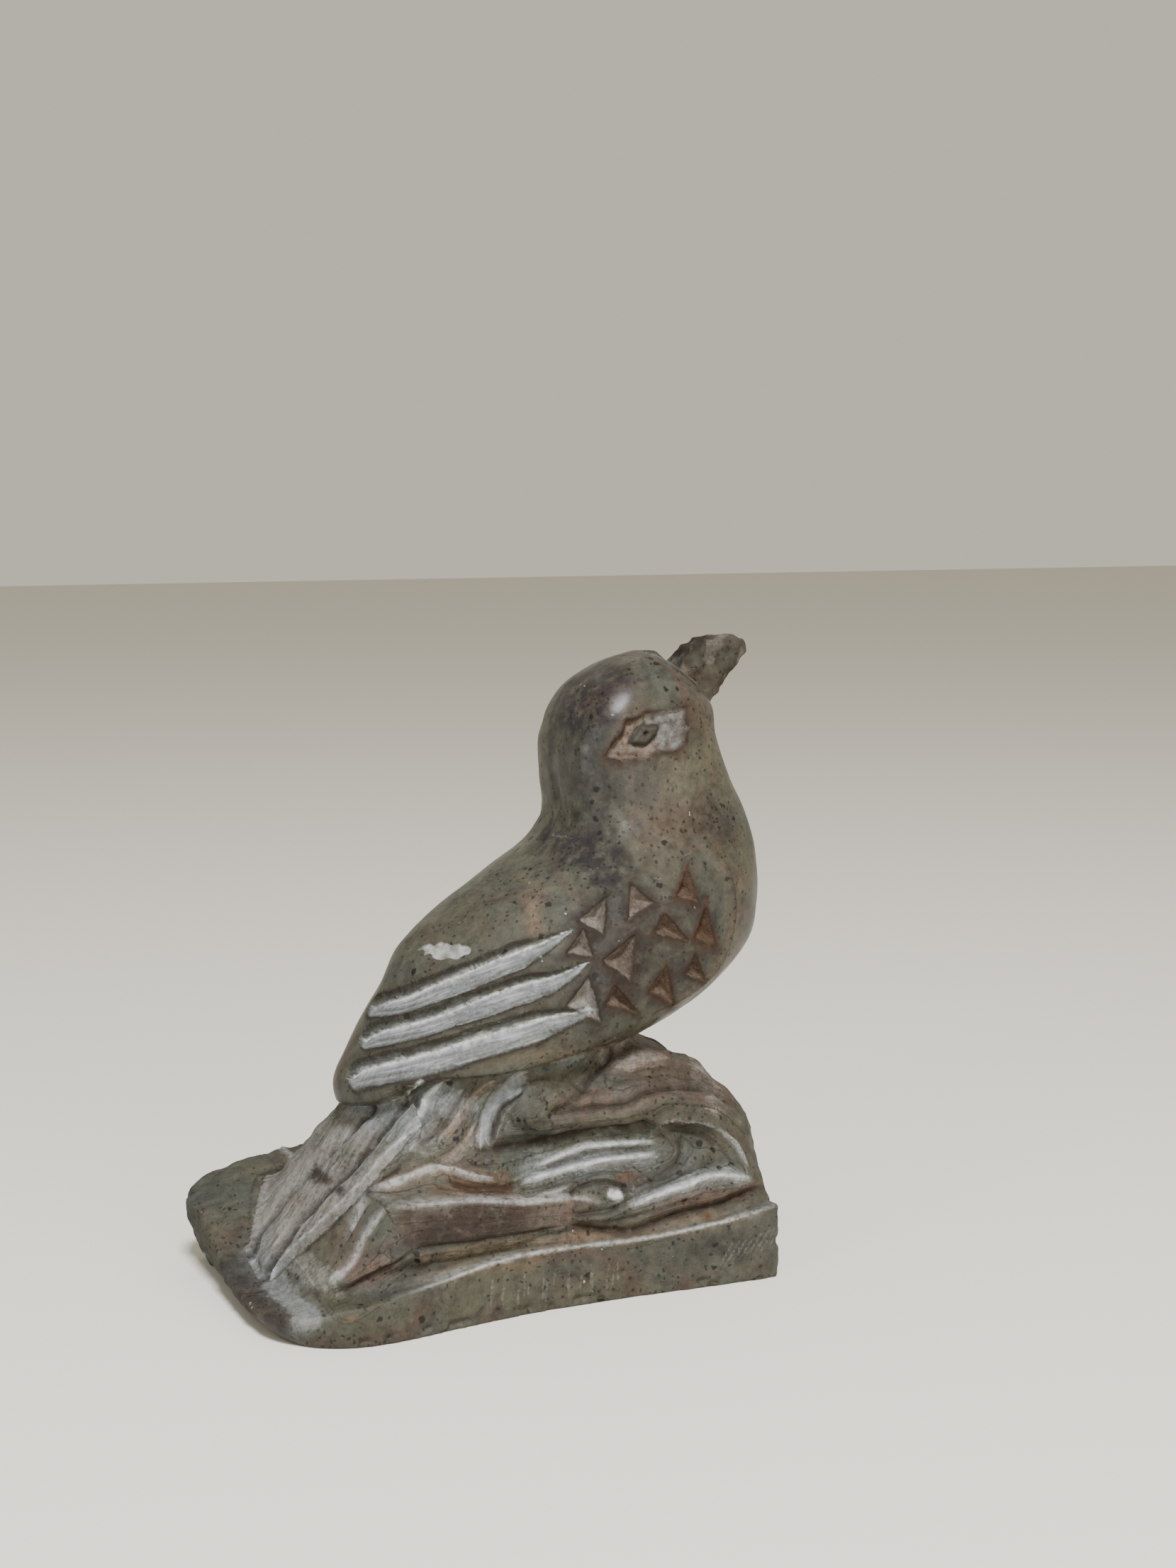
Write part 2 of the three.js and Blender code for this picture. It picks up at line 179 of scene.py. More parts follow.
moundShape = {
    "levels": [
        (2, -26, 29.6, 17.2, 3, 20),
        (8, -22, 29.8, 17.2, 2.6, 12),
        (13.5, -17, 30.5, 15.6, 2.4, 6),
        (17, -13, 30.7, 14.2, 2.3, 4.4),
        (20.7, -9, 28.5, 13.8, 2.2, 3.4),
        (24, -5, 24.3, 12.4, 2.1, 2.6),
        (27, 0, 19.6, 10, 2, 2.2),
        (29.5, 5, 15, 6.4, 2, 2),
    ],
    "segments": 150,
    "rows": 80,
}
footShape = {
    # x, height of the top edge on the near and the far side, near half width
    "edges": [
        (-34.8, 3.4, 8.4, 18.6),
        (-31, 3.8, 10.8, 19.5),
        (-25, 4.8, 12.2, 20.4),
        (-19, 5.6, 13, 20),
        (-12, 6.6, 13.8, 18.9),
        (-3, 7.4, 14, 17.8),
        (11, 7.2, 13.4, 17.7),
        (21, 7.8, 12.6, 18.2),
        (29.9, 9.2, 11.8, 18.6),
    ],
    "undercut": 2.6,
    "cornerSquare": 30,
    "cornerWorn": 6.5,
    "cuts": 47,
}
tailShape = {
    "root": (-14, 26.6),
    "end": (-31, 5.5),
    "middle": [-0.8, -0.4, 0.6, 1.4, 2, -1.1],
    "half": [9.9, 9.9, 10.2, 9.8, 8.4, 3.5],
    "crown": (3.4, 0.6),
    "grooves": [[-0.2, -0.16, -0.1, 0.06, 0.16, 0.5], [-0.62, -0.62, -0.62, -0.56, -0.62, -0.8]],
    "grooveDepth": 1.3,
    "grooveSpread": 0.13,
    "thick": 7,
    "cuts": 89,
}
panelShape = {
    # corners of the flat panel left proud of the near side, and of the facet that runs down from it
    "corners": [
        (-20.6, -16.2, 14.6), (-12.6, -17.1, 14.6), (-3.4, -17.3, 13.3), (3.4, -16.3, 12.7),
        (10.6, -14.6, 10.2),
        (5, -17, 9.4), (-2.2, -18, 9.9), (-16.8, -18.1, 9.8), (-19.4, -18, 8.9), (-26.6, -16, 5.4),
        (-27, -13.8, 6.4), (-21.6, -13.6, 14.4), (-12, -10, 15.4), (9, -10, 12), (-20, -10, 4), (9, -10, 6),
    ],
}
beakShape = {
    # x, half width and z of the corners of its broken faces
    "corners": [
        (23.6, 2.6, 73.4),
        (25.2, 2.2, 75.6),
        (29, 1.8, 77),
        (30.5, 1.5, 77),
        (31.8, 1.7, 76.4),
        (33.3, 1.4, 76.2),
        (33.5, 1.6, 74.9),
        (30.7, 2, 73),
        (28.9, 2.4, 70.9),
        (27.8, 2.4, 68.8),
        (24, 3.6, 68),
    ],
}
foldShapes = [
    # rounded ropes of stone round the rock: centre points and radii
    {
        "line": [
            (3, -7.4, 25.6), (9, -8.8, 25.4), (15, -8.6, 25.5), (20, -7, 24.4), (24.6, -5, 21.8),
            (28.4, -3, 16),
        ],
        "radii": [0.6, 1.9, 2.3, 2.1, 2, 1.2],
    },
    {
        "line": [
            (-4, -10, 25.6), (0, -11, 22.8), (7, -12, 21.4), (13, -12.4, 22), (20, -11.6, 20.8),
            (26.4, -10.4, 15),
        ],
        "radii": [2, 3.6, 2.9, 3, 3.1, 1.9],
    },
    {
        "line": [
            (0.5, -15.4, 10.4), (6, -15.2, 10), (12, -14.8, 11.2), (18, -14.4, 12), (23.6, -13.8, 12.2),
            (27.4, -12.8, 11),
        ],
        "radii": [0.5, 1.8, 2.4, 2.8, 2.8, 1.8],
    },
]


def readVerts(bm):
    return np.array([vert.co for vert in bm.verts])


def writeVerts(bm, places):
    for vert, place in zip(bm.verts, places):
        vert.co = place


def makeDrum(segments, rings):
    bm = bmesh.new()
    bmesh.ops.create_cone(bm, cap_ends=True, segments=segments, radius1=1, radius2=1, depth=1)
    upright = [edge for edge in bm.edges if abs(edge.verts[0].co.z - edge.verts[1].co.z) > 0.5]
    bmesh.ops.subdivide_edges(bm, edges=upright, cuts=rings)
    return bm


# A drum of fine rings whose points are moved to the levels of a mass.
def makeStack(shape):
    bm = makeDrum(shape["segments"], shape["rows"])
    at = readVerts(bm)
    low, high = shape["levels"][0][0], shape["levels"][-1][0]
    z = low + (at[:, 2] + 0.5) * (high - low)
    back, front, half, rear, fore = smoothTable(shape["levels"], z).T
    power = np.where(at[:, 0] < 0, rear, fore)
    out = (abs(at[:, 0]) ** power + abs(at[:, 1]) ** power) ** (-1 / power)
    if "wingEdge" in shape:
        x = (back + front) / 2 + (front - back) / 2 * at[:, 0] * out
        edge = np.interp(x, *np.transpose(shape["wingEdge"]))
        under = (1 - smoothStep(z - edge, -0.5, 0.1)) * (x < shape["wingEdge"][-1][0])
        out = out * (1 - (1 - shape["tucked"]) * under)
    x = (back + front) / 2 + (front - back) / 2 * at[:, 0] * out
    writeVerts(bm, np.c_[x, half * at[:, 1] * out, z])
    return bm


def makeBlock(cuts):
    bm = bmesh.new()
    bmesh.ops.create_cube(bm, size=2)
    bmesh.ops.subdivide_edges(bm, edges=bm.edges, cuts=cuts, use_grid_fill=True)
    return bm


def makeFoot(shape):
    bm = makeBlock(shape["cuts"])
    at = readVerts(bm)
    left, right = shape["edges"][0][0], shape["edges"][-1][0]
    power = np.where((at[:, 0] < 0) & (at[:, 1] < 0), shape["cornerWorn"], shape["cornerSquare"])
    square = np.maximum(np.maximum(abs(at[:, 0]), abs(at[:, 1])), 1e-6)
    flat = at[:, :2] / square[:, None]
    rounding = (abs(flat[:, 0]) ** power + abs(flat[:, 1]) ** power) ** (-1 / power)
    inset = np.where(at[:, 0] < 0, shape["undercut"] * ((1 - at[:, 2]) / 2) ** 2, 0)
    x = (left + right) / 2 + ((right - left) / 2 - inset) * at[:, 0] * rounding
    near, far, nearHalf = smoothTable(shape["edges"], x).T
    y = np.where(at[:, 1] < 0, nearHalf, footFar) * at[:, 1] * rounding
    height = near + (far - near) * smoothStep(y, -6, 15)
    writeVerts(bm, np.c_[x, y, height * (at[:, 2] + 1) / 2])
    return bm


def along(table, t):
    return smoothTable(np.c_[np.linspace(0, 1, len(table)), table], t)[:, 0]


# The height of the tail's top, t from its root to its end and across it from -1 near to 1 far, and how
# deep in a groove that is.
def tailTop(t, across):
    spread = tailShape["grooveSpread"]
    groove = sum(bell(across - along(line, t), spread) for line in tailShape["grooves"])
    z = np.interp(t, (0, 1), (tailShape["root"][1], tailShape["end"][1]))
    crown = np.interp(t, (0, 1), tailShape["crown"])
    return z - crown * across**2 - tailShape["grooveDepth"] * groove, groove


def makeTail(shape):
    bm = makeBlock(shape["cuts"])
    at = readVerts(bm)
    across, t, up = at[:, 0], (at[:, 1] + 1) / 2, at[:, 2]
    top, groove = tailTop(t, across)
    x = np.interp(t, (0, 1), (shape["root"][0], shape["end"][0])) + 1.2 * groove * t**8
    y = along(shape["middle"], t) + along(shape["half"], t) * across
    writeVerts(bm, np.c_[x, y, np.maximum(top - shape["thick"] * (1 - up) / 2, 0.5)])
    return bm


def makeHull(corners):
    bm = bmesh.new()
    for corner in corners:
        bm.verts.new(corner)
    bmesh.ops.convex_hull(bm, input=bm.verts)
    return bm


# A rope of stone: a drum laid along a line.
def makeFold(shape, side):
    bm = makeDrum(28, 60)
    at = readVerts(bm)
    t = at[:, 2] + 0.5
    points = np.array(shape["line"], float) * (1, -side, 1)
    knots = np.arange(len(points)) / (len(points) - 1)
    centre = smoothTable(np.c_[knots, points], t)
    heading = smoothTable(np.c_[knots, points], t + 0.01) - smoothTable(np.c_[knots, points], t - 0.01)
    heading /= np.linalg.norm(heading, axis=1)[:, None]
    out = np.cross(np.cross(heading, (0, side, 0.3)), heading)
    out /= np.linalg.norm(out, axis=1)[:, None]
    radius = smoothTable(np.c_[knots, shape["radii"]], t)
    writeVerts(bm, centre + radius * (at[:, :1] * np.cross(heading, out) + at[:, 1:2] * out))
    return bm


def addObject(name, data):
    thing = bpy.data.objects.new(name, data)
    bpy.context.scene.collection.objects.link(thing)
    return thing


def withModifiers(thing):
    graph = bpy.context.evaluated_depsgraph_get()
    return bpy.data.meshes.new_from_object(thing.evaluated_get(graph))


# Joins closed masses into one skin by building it up from small cubes of stone.
def joinMasses(masses, grain):
    whole = bmesh.new()
    for bm in masses:
        part = bpy.data.meshes.new("mass")
        bmesh.ops.recalc_face_normals(bm, faces=bm.faces)
        bm.to_mesh(part)
        bm.free()
        whole.from_mesh(part)
        bpy.data.meshes.remove(part)
    mesh = bpy.data.meshes.new("soapstone")
    whole.to_mesh(mesh)
    whole.free()
    block = addObject("soapstone_block", mesh)
    remesh = block.modifiers.new("join", "REMESH")
    remesh.mode = "VOXEL"
    remesh.voxel_size = grain
    joined = withModifiers(block)
    bpy.data.objects.remove(block)
    return joined


masses = [makeStack(bodyShape), makeStack(haunchShape), makeStack(moundShape)]
masses += [makeFoot(footShape), makeTail(tailShape), makeHull(panelShape["corners"])]
masses += [makeHull([(x, turn * half, z) for x, half, z in beakShape["corners"] for turn in (-1, 1)])]
masses += [makeFold(fold, turn) for fold in foldShapes for turn in (-1, 1)]
stoneMesh = joinMasses(masses, grain=0.23)
count = len(stoneMesh.vertices)
print("masses joined", count, "points")


# Carving. Every cut is worked out on the joined stone as a lift along its normals, in millimetres, with
# marks that the finish reads: fresh pale stone, dark marks that are dirt and also painted shade in creases
# and hollows, light edges that are partly a painted highlight, rust, veins, roughness and the run of the
# tool.

def readMesh(mesh):
    places = np.zeros(len(mesh.vertices) * 3)
    normals = np.zeros(len(mesh.vertices) * 3)
    mesh.vertices.foreach_get("co", places)
    mesh.vertices.foreach_get("normal", normals)
    return places.reshape(-1, 3), normals.reshape(-1, 3)


def writeMesh(mesh, places):
    mesh.vertices.foreach_set("co", places.ravel())
    mesh.update()


edges = np.zeros(len(stoneMesh.edges) * 2, np.int64)
stoneMesh.edges.foreach_get("vertices", edges)
edges = edges.reshape(-1, 2)
neighbours = np.maximum(np.bincount(edges.ravel(), minlength=count), 1)[:, None]


# Evens out values over the skin, each point taking the mean of its neighbours.
def eased(values, rounds, amount=0.5):
    values = values if values.ndim > 1 else values[:, None]
    for _ in range(rounds):
        total = np.zeros_like(values)
        for column in range(values.shape[1]):
            total[:, column] = np.bincount(edges[:, 0], values[edges[:, 1], column], count)
            total[:, column] += np.bincount(edges[:, 1], values[edges[:, 0], column], count)
        values = values + amount * (total / neighbours - values)
    return values


places, normals = readMesh(stoneMesh)
wingEdgeAt = np.interp(places[:, 0], *np.transpose(bodyShape["wingEdge"]))
onBird = smoothStep(places[:, 2] - wingEdgeAt, -1.2, 0.2)
inTail = (places[:, 0] - tailShape["root"][0]) / (tailShape["end"][0] - tailShape["root"][0])
acrossTail = (places[:, 1] - along(tailShape["middle"], inTail)) / along(tailShape["half"], inTail)
overTail = places[:, 2] - tailTop(np.clip(inTail, 0, 1), acrossTail)[0]
nearTail = (inTail > 0) & (inTail < 1.04) & (abs(acrossTail) < 1.15) & (abs(overTail) < 3)
footEdgeAt = smoothTable([row[:2] for row in footShape["edges"]], places[:, 0])[:, 0]
nearPanel = (abs(places[:, 0] + 8) < 20) & (abs(places[:, 2] - 11) < 5.5) & (places[:, 1] < -13)
# The rock's folds run into each other softly, while the bird, the tail and the panel keep their edges.
nearFloor = places[:, 2] < 2.5
keepEdges = eased(np.maximum.reduce([onBird, nearTail * 1.0, nearPanel * 0.85, nearFloor * 0.8]), 8)
soft = eased(places, 20)
firm = eased(places, 4)
places = firm * keepEdges + soft * (1 - keepEdges)
writeMesh(stoneMesh, places)
places, normals = readMesh(stoneMesh)
normals = eased(normals, 12)
normals /= np.linalg.norm(normals, axis=1)[:, None]
side = places[:, [0, 2]]
lift = np.zeros(count)
markNames = ("pale", "dirt_and_shade", "rust", "mauve", "rough", "edge", "purple", "tan", "blue", "moss", "streak")
marks = {name: np.zeros(count) for name in markNames}
strokeRun = np.zeros((count, 2))  # how far along a stroke of the tool, and how far beside it
strokeNear = np.full(count, np.inf)


def addMark(name, amount, where=slice(None)):
    marks[name][where] = np.maximum(marks[name][where], amount)


def addRun(where, run, beside, reach, strength):
    closer = (abs(beside) < reach) & (abs(beside) < strokeNear[where])
    at = where[closer]
    strokeNear[at] = abs(beside[closer])
    strokeRun[at] = np.c_[run[closer], beside[closer]]
    marks["streak"][at] = np.maximum(marks["streak"][at] * 0.5, strength)


# The point of the body's skin straight out from a point near it.
def onBody(points):
    points = np.array(points, float)
    back, front, half, rear, fore = smoothTable(bodyShape["levels"], points[:, 2]).T
    middle = (back + front) / 2
    ahead = (points[:, 0] - middle) / ((front - back) / 2)
    power = np.where(ahead < 0, rear, fore)
    out = (abs(ahead) ** power + abs(points[:, 1] / half) ** power) ** (1 / power)
    return np.c_[middle + (points[:, 0] - middle) / out, points[:, 1] / out, points[:, 2]]


fluteCut = {
    "depth": 1.15,
    "roundEnd": 0.95,
    "pointLength": 0.26,
    "arris": 0.4,  # where the deepest line lies, from the middle towards the upper rim
    "flutes": [
        {
            "width": 3.4,
            "line": [
                (3.9, -13.6, 44), (-0.6, -13, 42), (-5.4, -11.3, 40.1), (-9.8, -8.4, 37.8), (-13, -3.8, 35.3),
                (-14.6, 1.2, 33.6),
            ],
        },
        {
            "width": 3.4,
            "line": [
                (5.4, -14.9, 40.2), (1.4, -14.6, 38.3), (-3.4, -13.7, 37.1), (-8.4, -11.5, 35.4),
                (-13.2, -7.6, 33.1), (-16.6, -1, 30.3),
            ],
        },
        {
            "width": 3.9,
            "line": [
                (6.6, -15.2, 34.6), (1.6, -15, 33.7), (-3.6, -14.3, 32.5), (-8.8, -12.8, 31.1),
                (-14, -9.6, 29.2), (-18.6, -2, 26.2),
            ],
        },
    ],
}


# One gouge cut of the wing: a steep upper wall, a floor that comes up to the lower rim.
def cutFlute(flute, facing):
    points = np.array(flute["line"], float)[: None if facing < 0 else -1] * (1, -facing, 1)
    line = smoothLine(onBody(points), 0.3)
    close = np.where(np.linalg.norm(places - line.mean(0), axis=1) < 18)[0]
    far, t, gap = nearest(places[close], line)
    heading = smoothTable(np.c_[np.linspace(0, 1, len(line)), line], t + 0.01)
    heading -= smoothTable(np.c_[np.linspace(0, 1, len(line)), line], t - 0.01)
    across = np.cross(heading, normals[close])
    across /= np.linalg.norm(across, axis=1)[:, None]
    up = -facing * (gap * across).sum(1)
    point = np.minimum(1, 0.05 + t / fluteCut["pointLength"]) ** 0.85
    past = np.maximum(0, t - fluteCut["roundEnd"]) / (1 - fluteCut["roundEnd"])
    wander = 1 + 0.07 * lumps(places[close], 2.2, 61)
    half = flute["width"] / 2 * point * np.sqrt(np.maximum(0.02, 1 - past**2)) * wander
    beyond = np.sqrt(np.maximum(far**2 - up**2, 0))
    u = up / half
    arris = fluteCut["arris"]
    wall = np.clip((1 - u) / (1 - arris), 0, 1) ** 0.75
    floor = np.clip((1 + u) / (1 + arris), 0, 1) ** 0.7
    inside = (np.abs(u) < 1) & (beyond < half)
    ending = np.sqrt(np.clip(1 - (beyond / half) ** 2, 0, 1))
    depth = fluteCut["depth"] * point * np.where(u > arris, wall, floor) * ending
    at = close[inside]
    lift[at] = np.minimum(lift[at], -depth[inside])
    # Painted light and shade in the flute: the upper wall, which faces down, gets almost none of the pale
    # stone (painted shade), the floor gets more of it up towards the arris, the arris line takes the light
    # edge colour as a painted highlight, and both rims get the dark dirt mark as painted shade with some
    # dirt.
    opened = smoothStep(1 - abs(u[inside]), 0, 0.14)
    addMark("pale", opened * np.where(u[inside] > arris, 0.08, 0.6 + 0.2 * u[inside]), at)
    addMark("blue", opened * 0.8, at)
    addMark("rough", opened, at)
    nearLine = beyond < half
    addMark("edge", bell(u - arris, 0.1) * nearLine, close)
    lowerRim = bell(u + 1.0, 0.16)
    upperRim = bell(u - 0.9, 0.2)
    addMark("dirt_and_shade", (0.85 * lowerRim + 0.8 * upperRim) * nearLine, close)
    addMark("moss", 0.7 * bell(abs(u) - 1.4, 0.4) * nearLine, close)
    addRun(at, t[inside] * 26, up[inside], 9, 0.9)


for facing in (-1, 1):
    for flute in fluteCut["flutes"]:
        cutFlute(flute, facing)

nickCut = {
    "depth": 1.7,
    "spread": 1.16,
    # three corners of each chip in the side view, how rusty it is and how pale
    "nicks": [
        ([(8.4, 47.3), (5.1, 45.1), (7.5, 43.5)], 0.15, 0.75),
        ([(11.7, 48.7), (14.1, 46.5), (11, 45)], 0.3, 0.6),
        ([(19.1, 49.8), (17.5, 47.2), (20.1, 46.2)], 0.85, 0.3),
        ([(15.7, 44.9), (14.2, 43), (18.6, 41.7)], 0.65, 0.45),
        ([(21.4, 45.3), (20, 41.8), (22.9, 40.8)], 1, 0.2),
        ([(5.3, 43.9), (3.3, 41.4), (6, 41)], 0.3, 0.7),
        ([(11.4, 42.8), (7.6, 40.3), (10.7, 37.7)], 0.4, 0.6),
        ([(20, 39.7), (18.7, 37.5), (21.8, 36.2)], 0.6, 0.45),
        ([(15.7, 38.5), (13.6, 36.2), (17.2, 33.9)], 0.75, 0.35),
        ([(8.8, 37.1), (7.8, 35.2), (11.8, 33.6)], 0.6, 0.4),
        ([(5.5, 38.3), (3, 35.4), (6.8, 33.2)], 0, 0.95),
    ],
    "lowest": (0.44, 0.32, 0.24),  # where the bottom lies between the three corners
}


# A chip lifted with a knife point: three faces that meet at the bottom.
def cutNick(corners, rust, pale, facing):
    corners = np.array(corners)
    corners = corners.mean(0) + (corners - corners.mean(0)) * nickCut["spread"]
    bottom = np.array(nickCut["lowest"]) @ corners
    close = np.where((places[:, 1] * facing > 4) & (np.linalg.norm(side - bottom, axis=1) < 5))[0]
    level = np.full(len(close), np.inf)
    for a, b in zip(corners, np.roll(corners, -1, axis=0)):
        across = np.array([-(b - a)[1], (b - a)[0]])
        level = np.minimum(level, (side[close] - a) @ across / ((bottom - a) @ across))
    level = level + 0.08 * lumps(places[close], 0.8, 4)
    depth = nickCut["depth"] * np.clip(level, 0, 1) ** 0.8 * (1 + 0.2 * lumps(places[close], 0.6, 5))
    lift[close] = np.minimum(lift[close], -depth)
    inside = smoothStep(level, 0.0, 0.14)
    rim = bell(level + 0.1, 0.2)
    # Painted light and shade in the chip: its pale stone is lighter on the faces towards the left (painted
    # light), and the dark dirt mark fills its inside as a painted shadow and lines its rim as dirt and
    # painted shade.
    shade = 0.5 + 0.5 * smoothStep(side[close, 0] - bottom[0], 1.2, -1.2)
    addMark("pale", inside * (0.22 + 0.6 * pale) * (0.45 + 0.55 * shade), close)
    addMark("tan", inside * (1 - pale), close)
    addMark("rough", inside, close)
    addMark("rust", rust * np.maximum(0.8 * rim, inside * 0.55), close)
    addMark("dirt_and_shade", np.maximum(0.9 * rim, 0.45 * inside * (1 - pale)), close)
    addMark("purple", 0.8 * bell(level + 0.5, 0.6), close)


for facing in (-1, 1):
    for corners, rust, pale in nickCut["nicks"]:
        cutNick(corners, rust, pale, facing)

eyeCut = {
    "hollow": [
        (10.4, 63.3), (11.2, 64.8), (12.6, 66.2), (13.2, 67.8), (14.6, 67.9), (15.9, 68.7), (19, 69.1),
        (21.4, 69), (20.9, 67.6), (21.6, 66.6), (21, 64.7), (19.2, 63.6), (17.2, 63.9), (16, 63.3),
        (12.6, 62.7),
    ],
    "almond": [(13.4, 64.9), (14.4, 66.4), (15.7, 67.2), (17.8, 67), (17.2, 65.8), (15.8, 64.7)],
    "depth": 0.85,
    "pupil": (15.75, 66.1),
    "pupilRadius": 0.33,
    "pupilDepth": 0.6,
}


def cutEye(facing):
    nearPupil = np.linalg.norm(side - eyeCut["pupil"], axis=1) < 9
    close = np.where((places[:, 1] * facing > 2) & nearPupil)[0]
    at = side[close]

    def depthIn(outline):
        closed = np.array(outline + outline[:1], float)
        far = nearest(at, closed)[0]
        return np.where(insideOutline(at, closed[:-1]), far, -far) + 0.12 * lumps(places[close], 0.9, 6)

    hollow, almond = depthIn(eyeCut["hollow"]), depthIn(eyeCut["almond"])
    rough = 1 + 0.35 * lumps(places[close], 0.6, 8) + 0.25 * lumps(places[close], 1.4, 9)
    depth = eyeCut["depth"] * smoothStep(hollow, -0.05, 0.5) * rough
    depth = depth * (1 - 0.75 * smoothStep(almond, -0.12, 0.45))
    depth += 0.25 * bell(almond, 0.16)
    hole = np.linalg.norm(at - eyeCut["pupil"], axis=1) / eyeCut["pupilRadius"]
    depth += eyeCut["pupilDepth"] * np.clip(1.15 - hole**2, 0, 1)
    lift[close] -= depth
    ground = smoothStep(hollow, 0, 0.25) * (1 - smoothStep(almond, -0.2, 0.05))
    forward = smoothStep(at[:, 0] + 0.6 * (at[:, 1] - 66), 15.5, 18.5)
    addMark("pale", ground * (0.36 + 0.3 * lumps(places[close], 0.8, 15)), close)
    addMark("blue", ground * forward * 0.75, close)
    addMark("tan", ground * 0.5 * (1 - 0.6 * forward), close)
    addMark("mauve", ground * 0.7, close)
    addMark("moss", 0.9 * smoothStep(almond, -0.1, 0.1), close)
    addMark("dirt_and_shade", 0.4 * smoothStep(almond, -0.1, 0.1), close)
    addMark("rough", ground, close)
    brow = smoothStep(lumps(places[close], 1.7, 3), -0.5, 0.3)
    addMark("rust", 0.6 * brow * bell(hollow + 0.1, 0.3), close)
    addMark("dirt_and_shade", 0.9 * brow * bell(hollow + 0.05, 0.32), close)
    addMark("dirt_and_shade", np.maximum(0.8 * bell(almond, 0.17), np.clip(1.4 - hole, 0, 1)), close)


for facing in (-1, 1):
    cutEye(facing)
print("wings, shoulder and eyes cut")


# Strokes of the knife in the side view, as x and z: a crease is a V, a gouge a round hollow, a ridge a
# raised line, and a step is raised on the left of its line's direction.
def makeStroke(kind, line, width, depth, marked, sharp=1.4, facings=(-1, 1), run=0.7):
    line = smoothLine(line, 0.35)
    knots = np.c_[np.linspace(0, 1, len(line)), line]
    length = np.linalg.norm(np.diff(line, axis=0), axis=1).sum()
    reach = 2 * width + 1.5
    for facing in facings:
        boxed = (side > line.min(0) - reach).all(1) & (side < line.max(0) + reach).all(1)
        close = np.where((places[:, 1] * facing > 1) & boxed)[0]
        far, t, gap = nearest(side[close], line)
        taper = np.clip(np.minimum(t, 1 - t) * 7, 0, 1) ** 0.7
        strength = 1 if facing < 0 else 0.75
        u = far / (width * (1 + 0.25 * lumps(places[close], 2.4, 11)))
        heading = smoothTable(knots, t + 0.02) - smoothTable(knots, t - 0.02)
        beside = np.sign(heading[:, 0] * gap[:, 1] - heading[:, 1] * gap[:, 0]) * far
        if kind == "crease":
            shape = -np.clip(1 - u, 0, 1) ** sharp
        elif kind == "ridge":
            shape = np.clip(1 - u, 0, 1) ** sharp
        elif kind == "gouge":
            shape = -np.sqrt(np.clip(1 - u**2, 0, 1))
        else:
            shape = np.where(beside > 0, np.clip(1 - u, 0, 1) ** sharp, 0)
        lift[close] += strength * depth * taper * shape
        for name, (amount, spread) in marked.items():
            addMark(name, amount * strength * taper * bell(far, spread), close)
        if run:
            addRun(close, t * length, beside, width + 1.2, run)
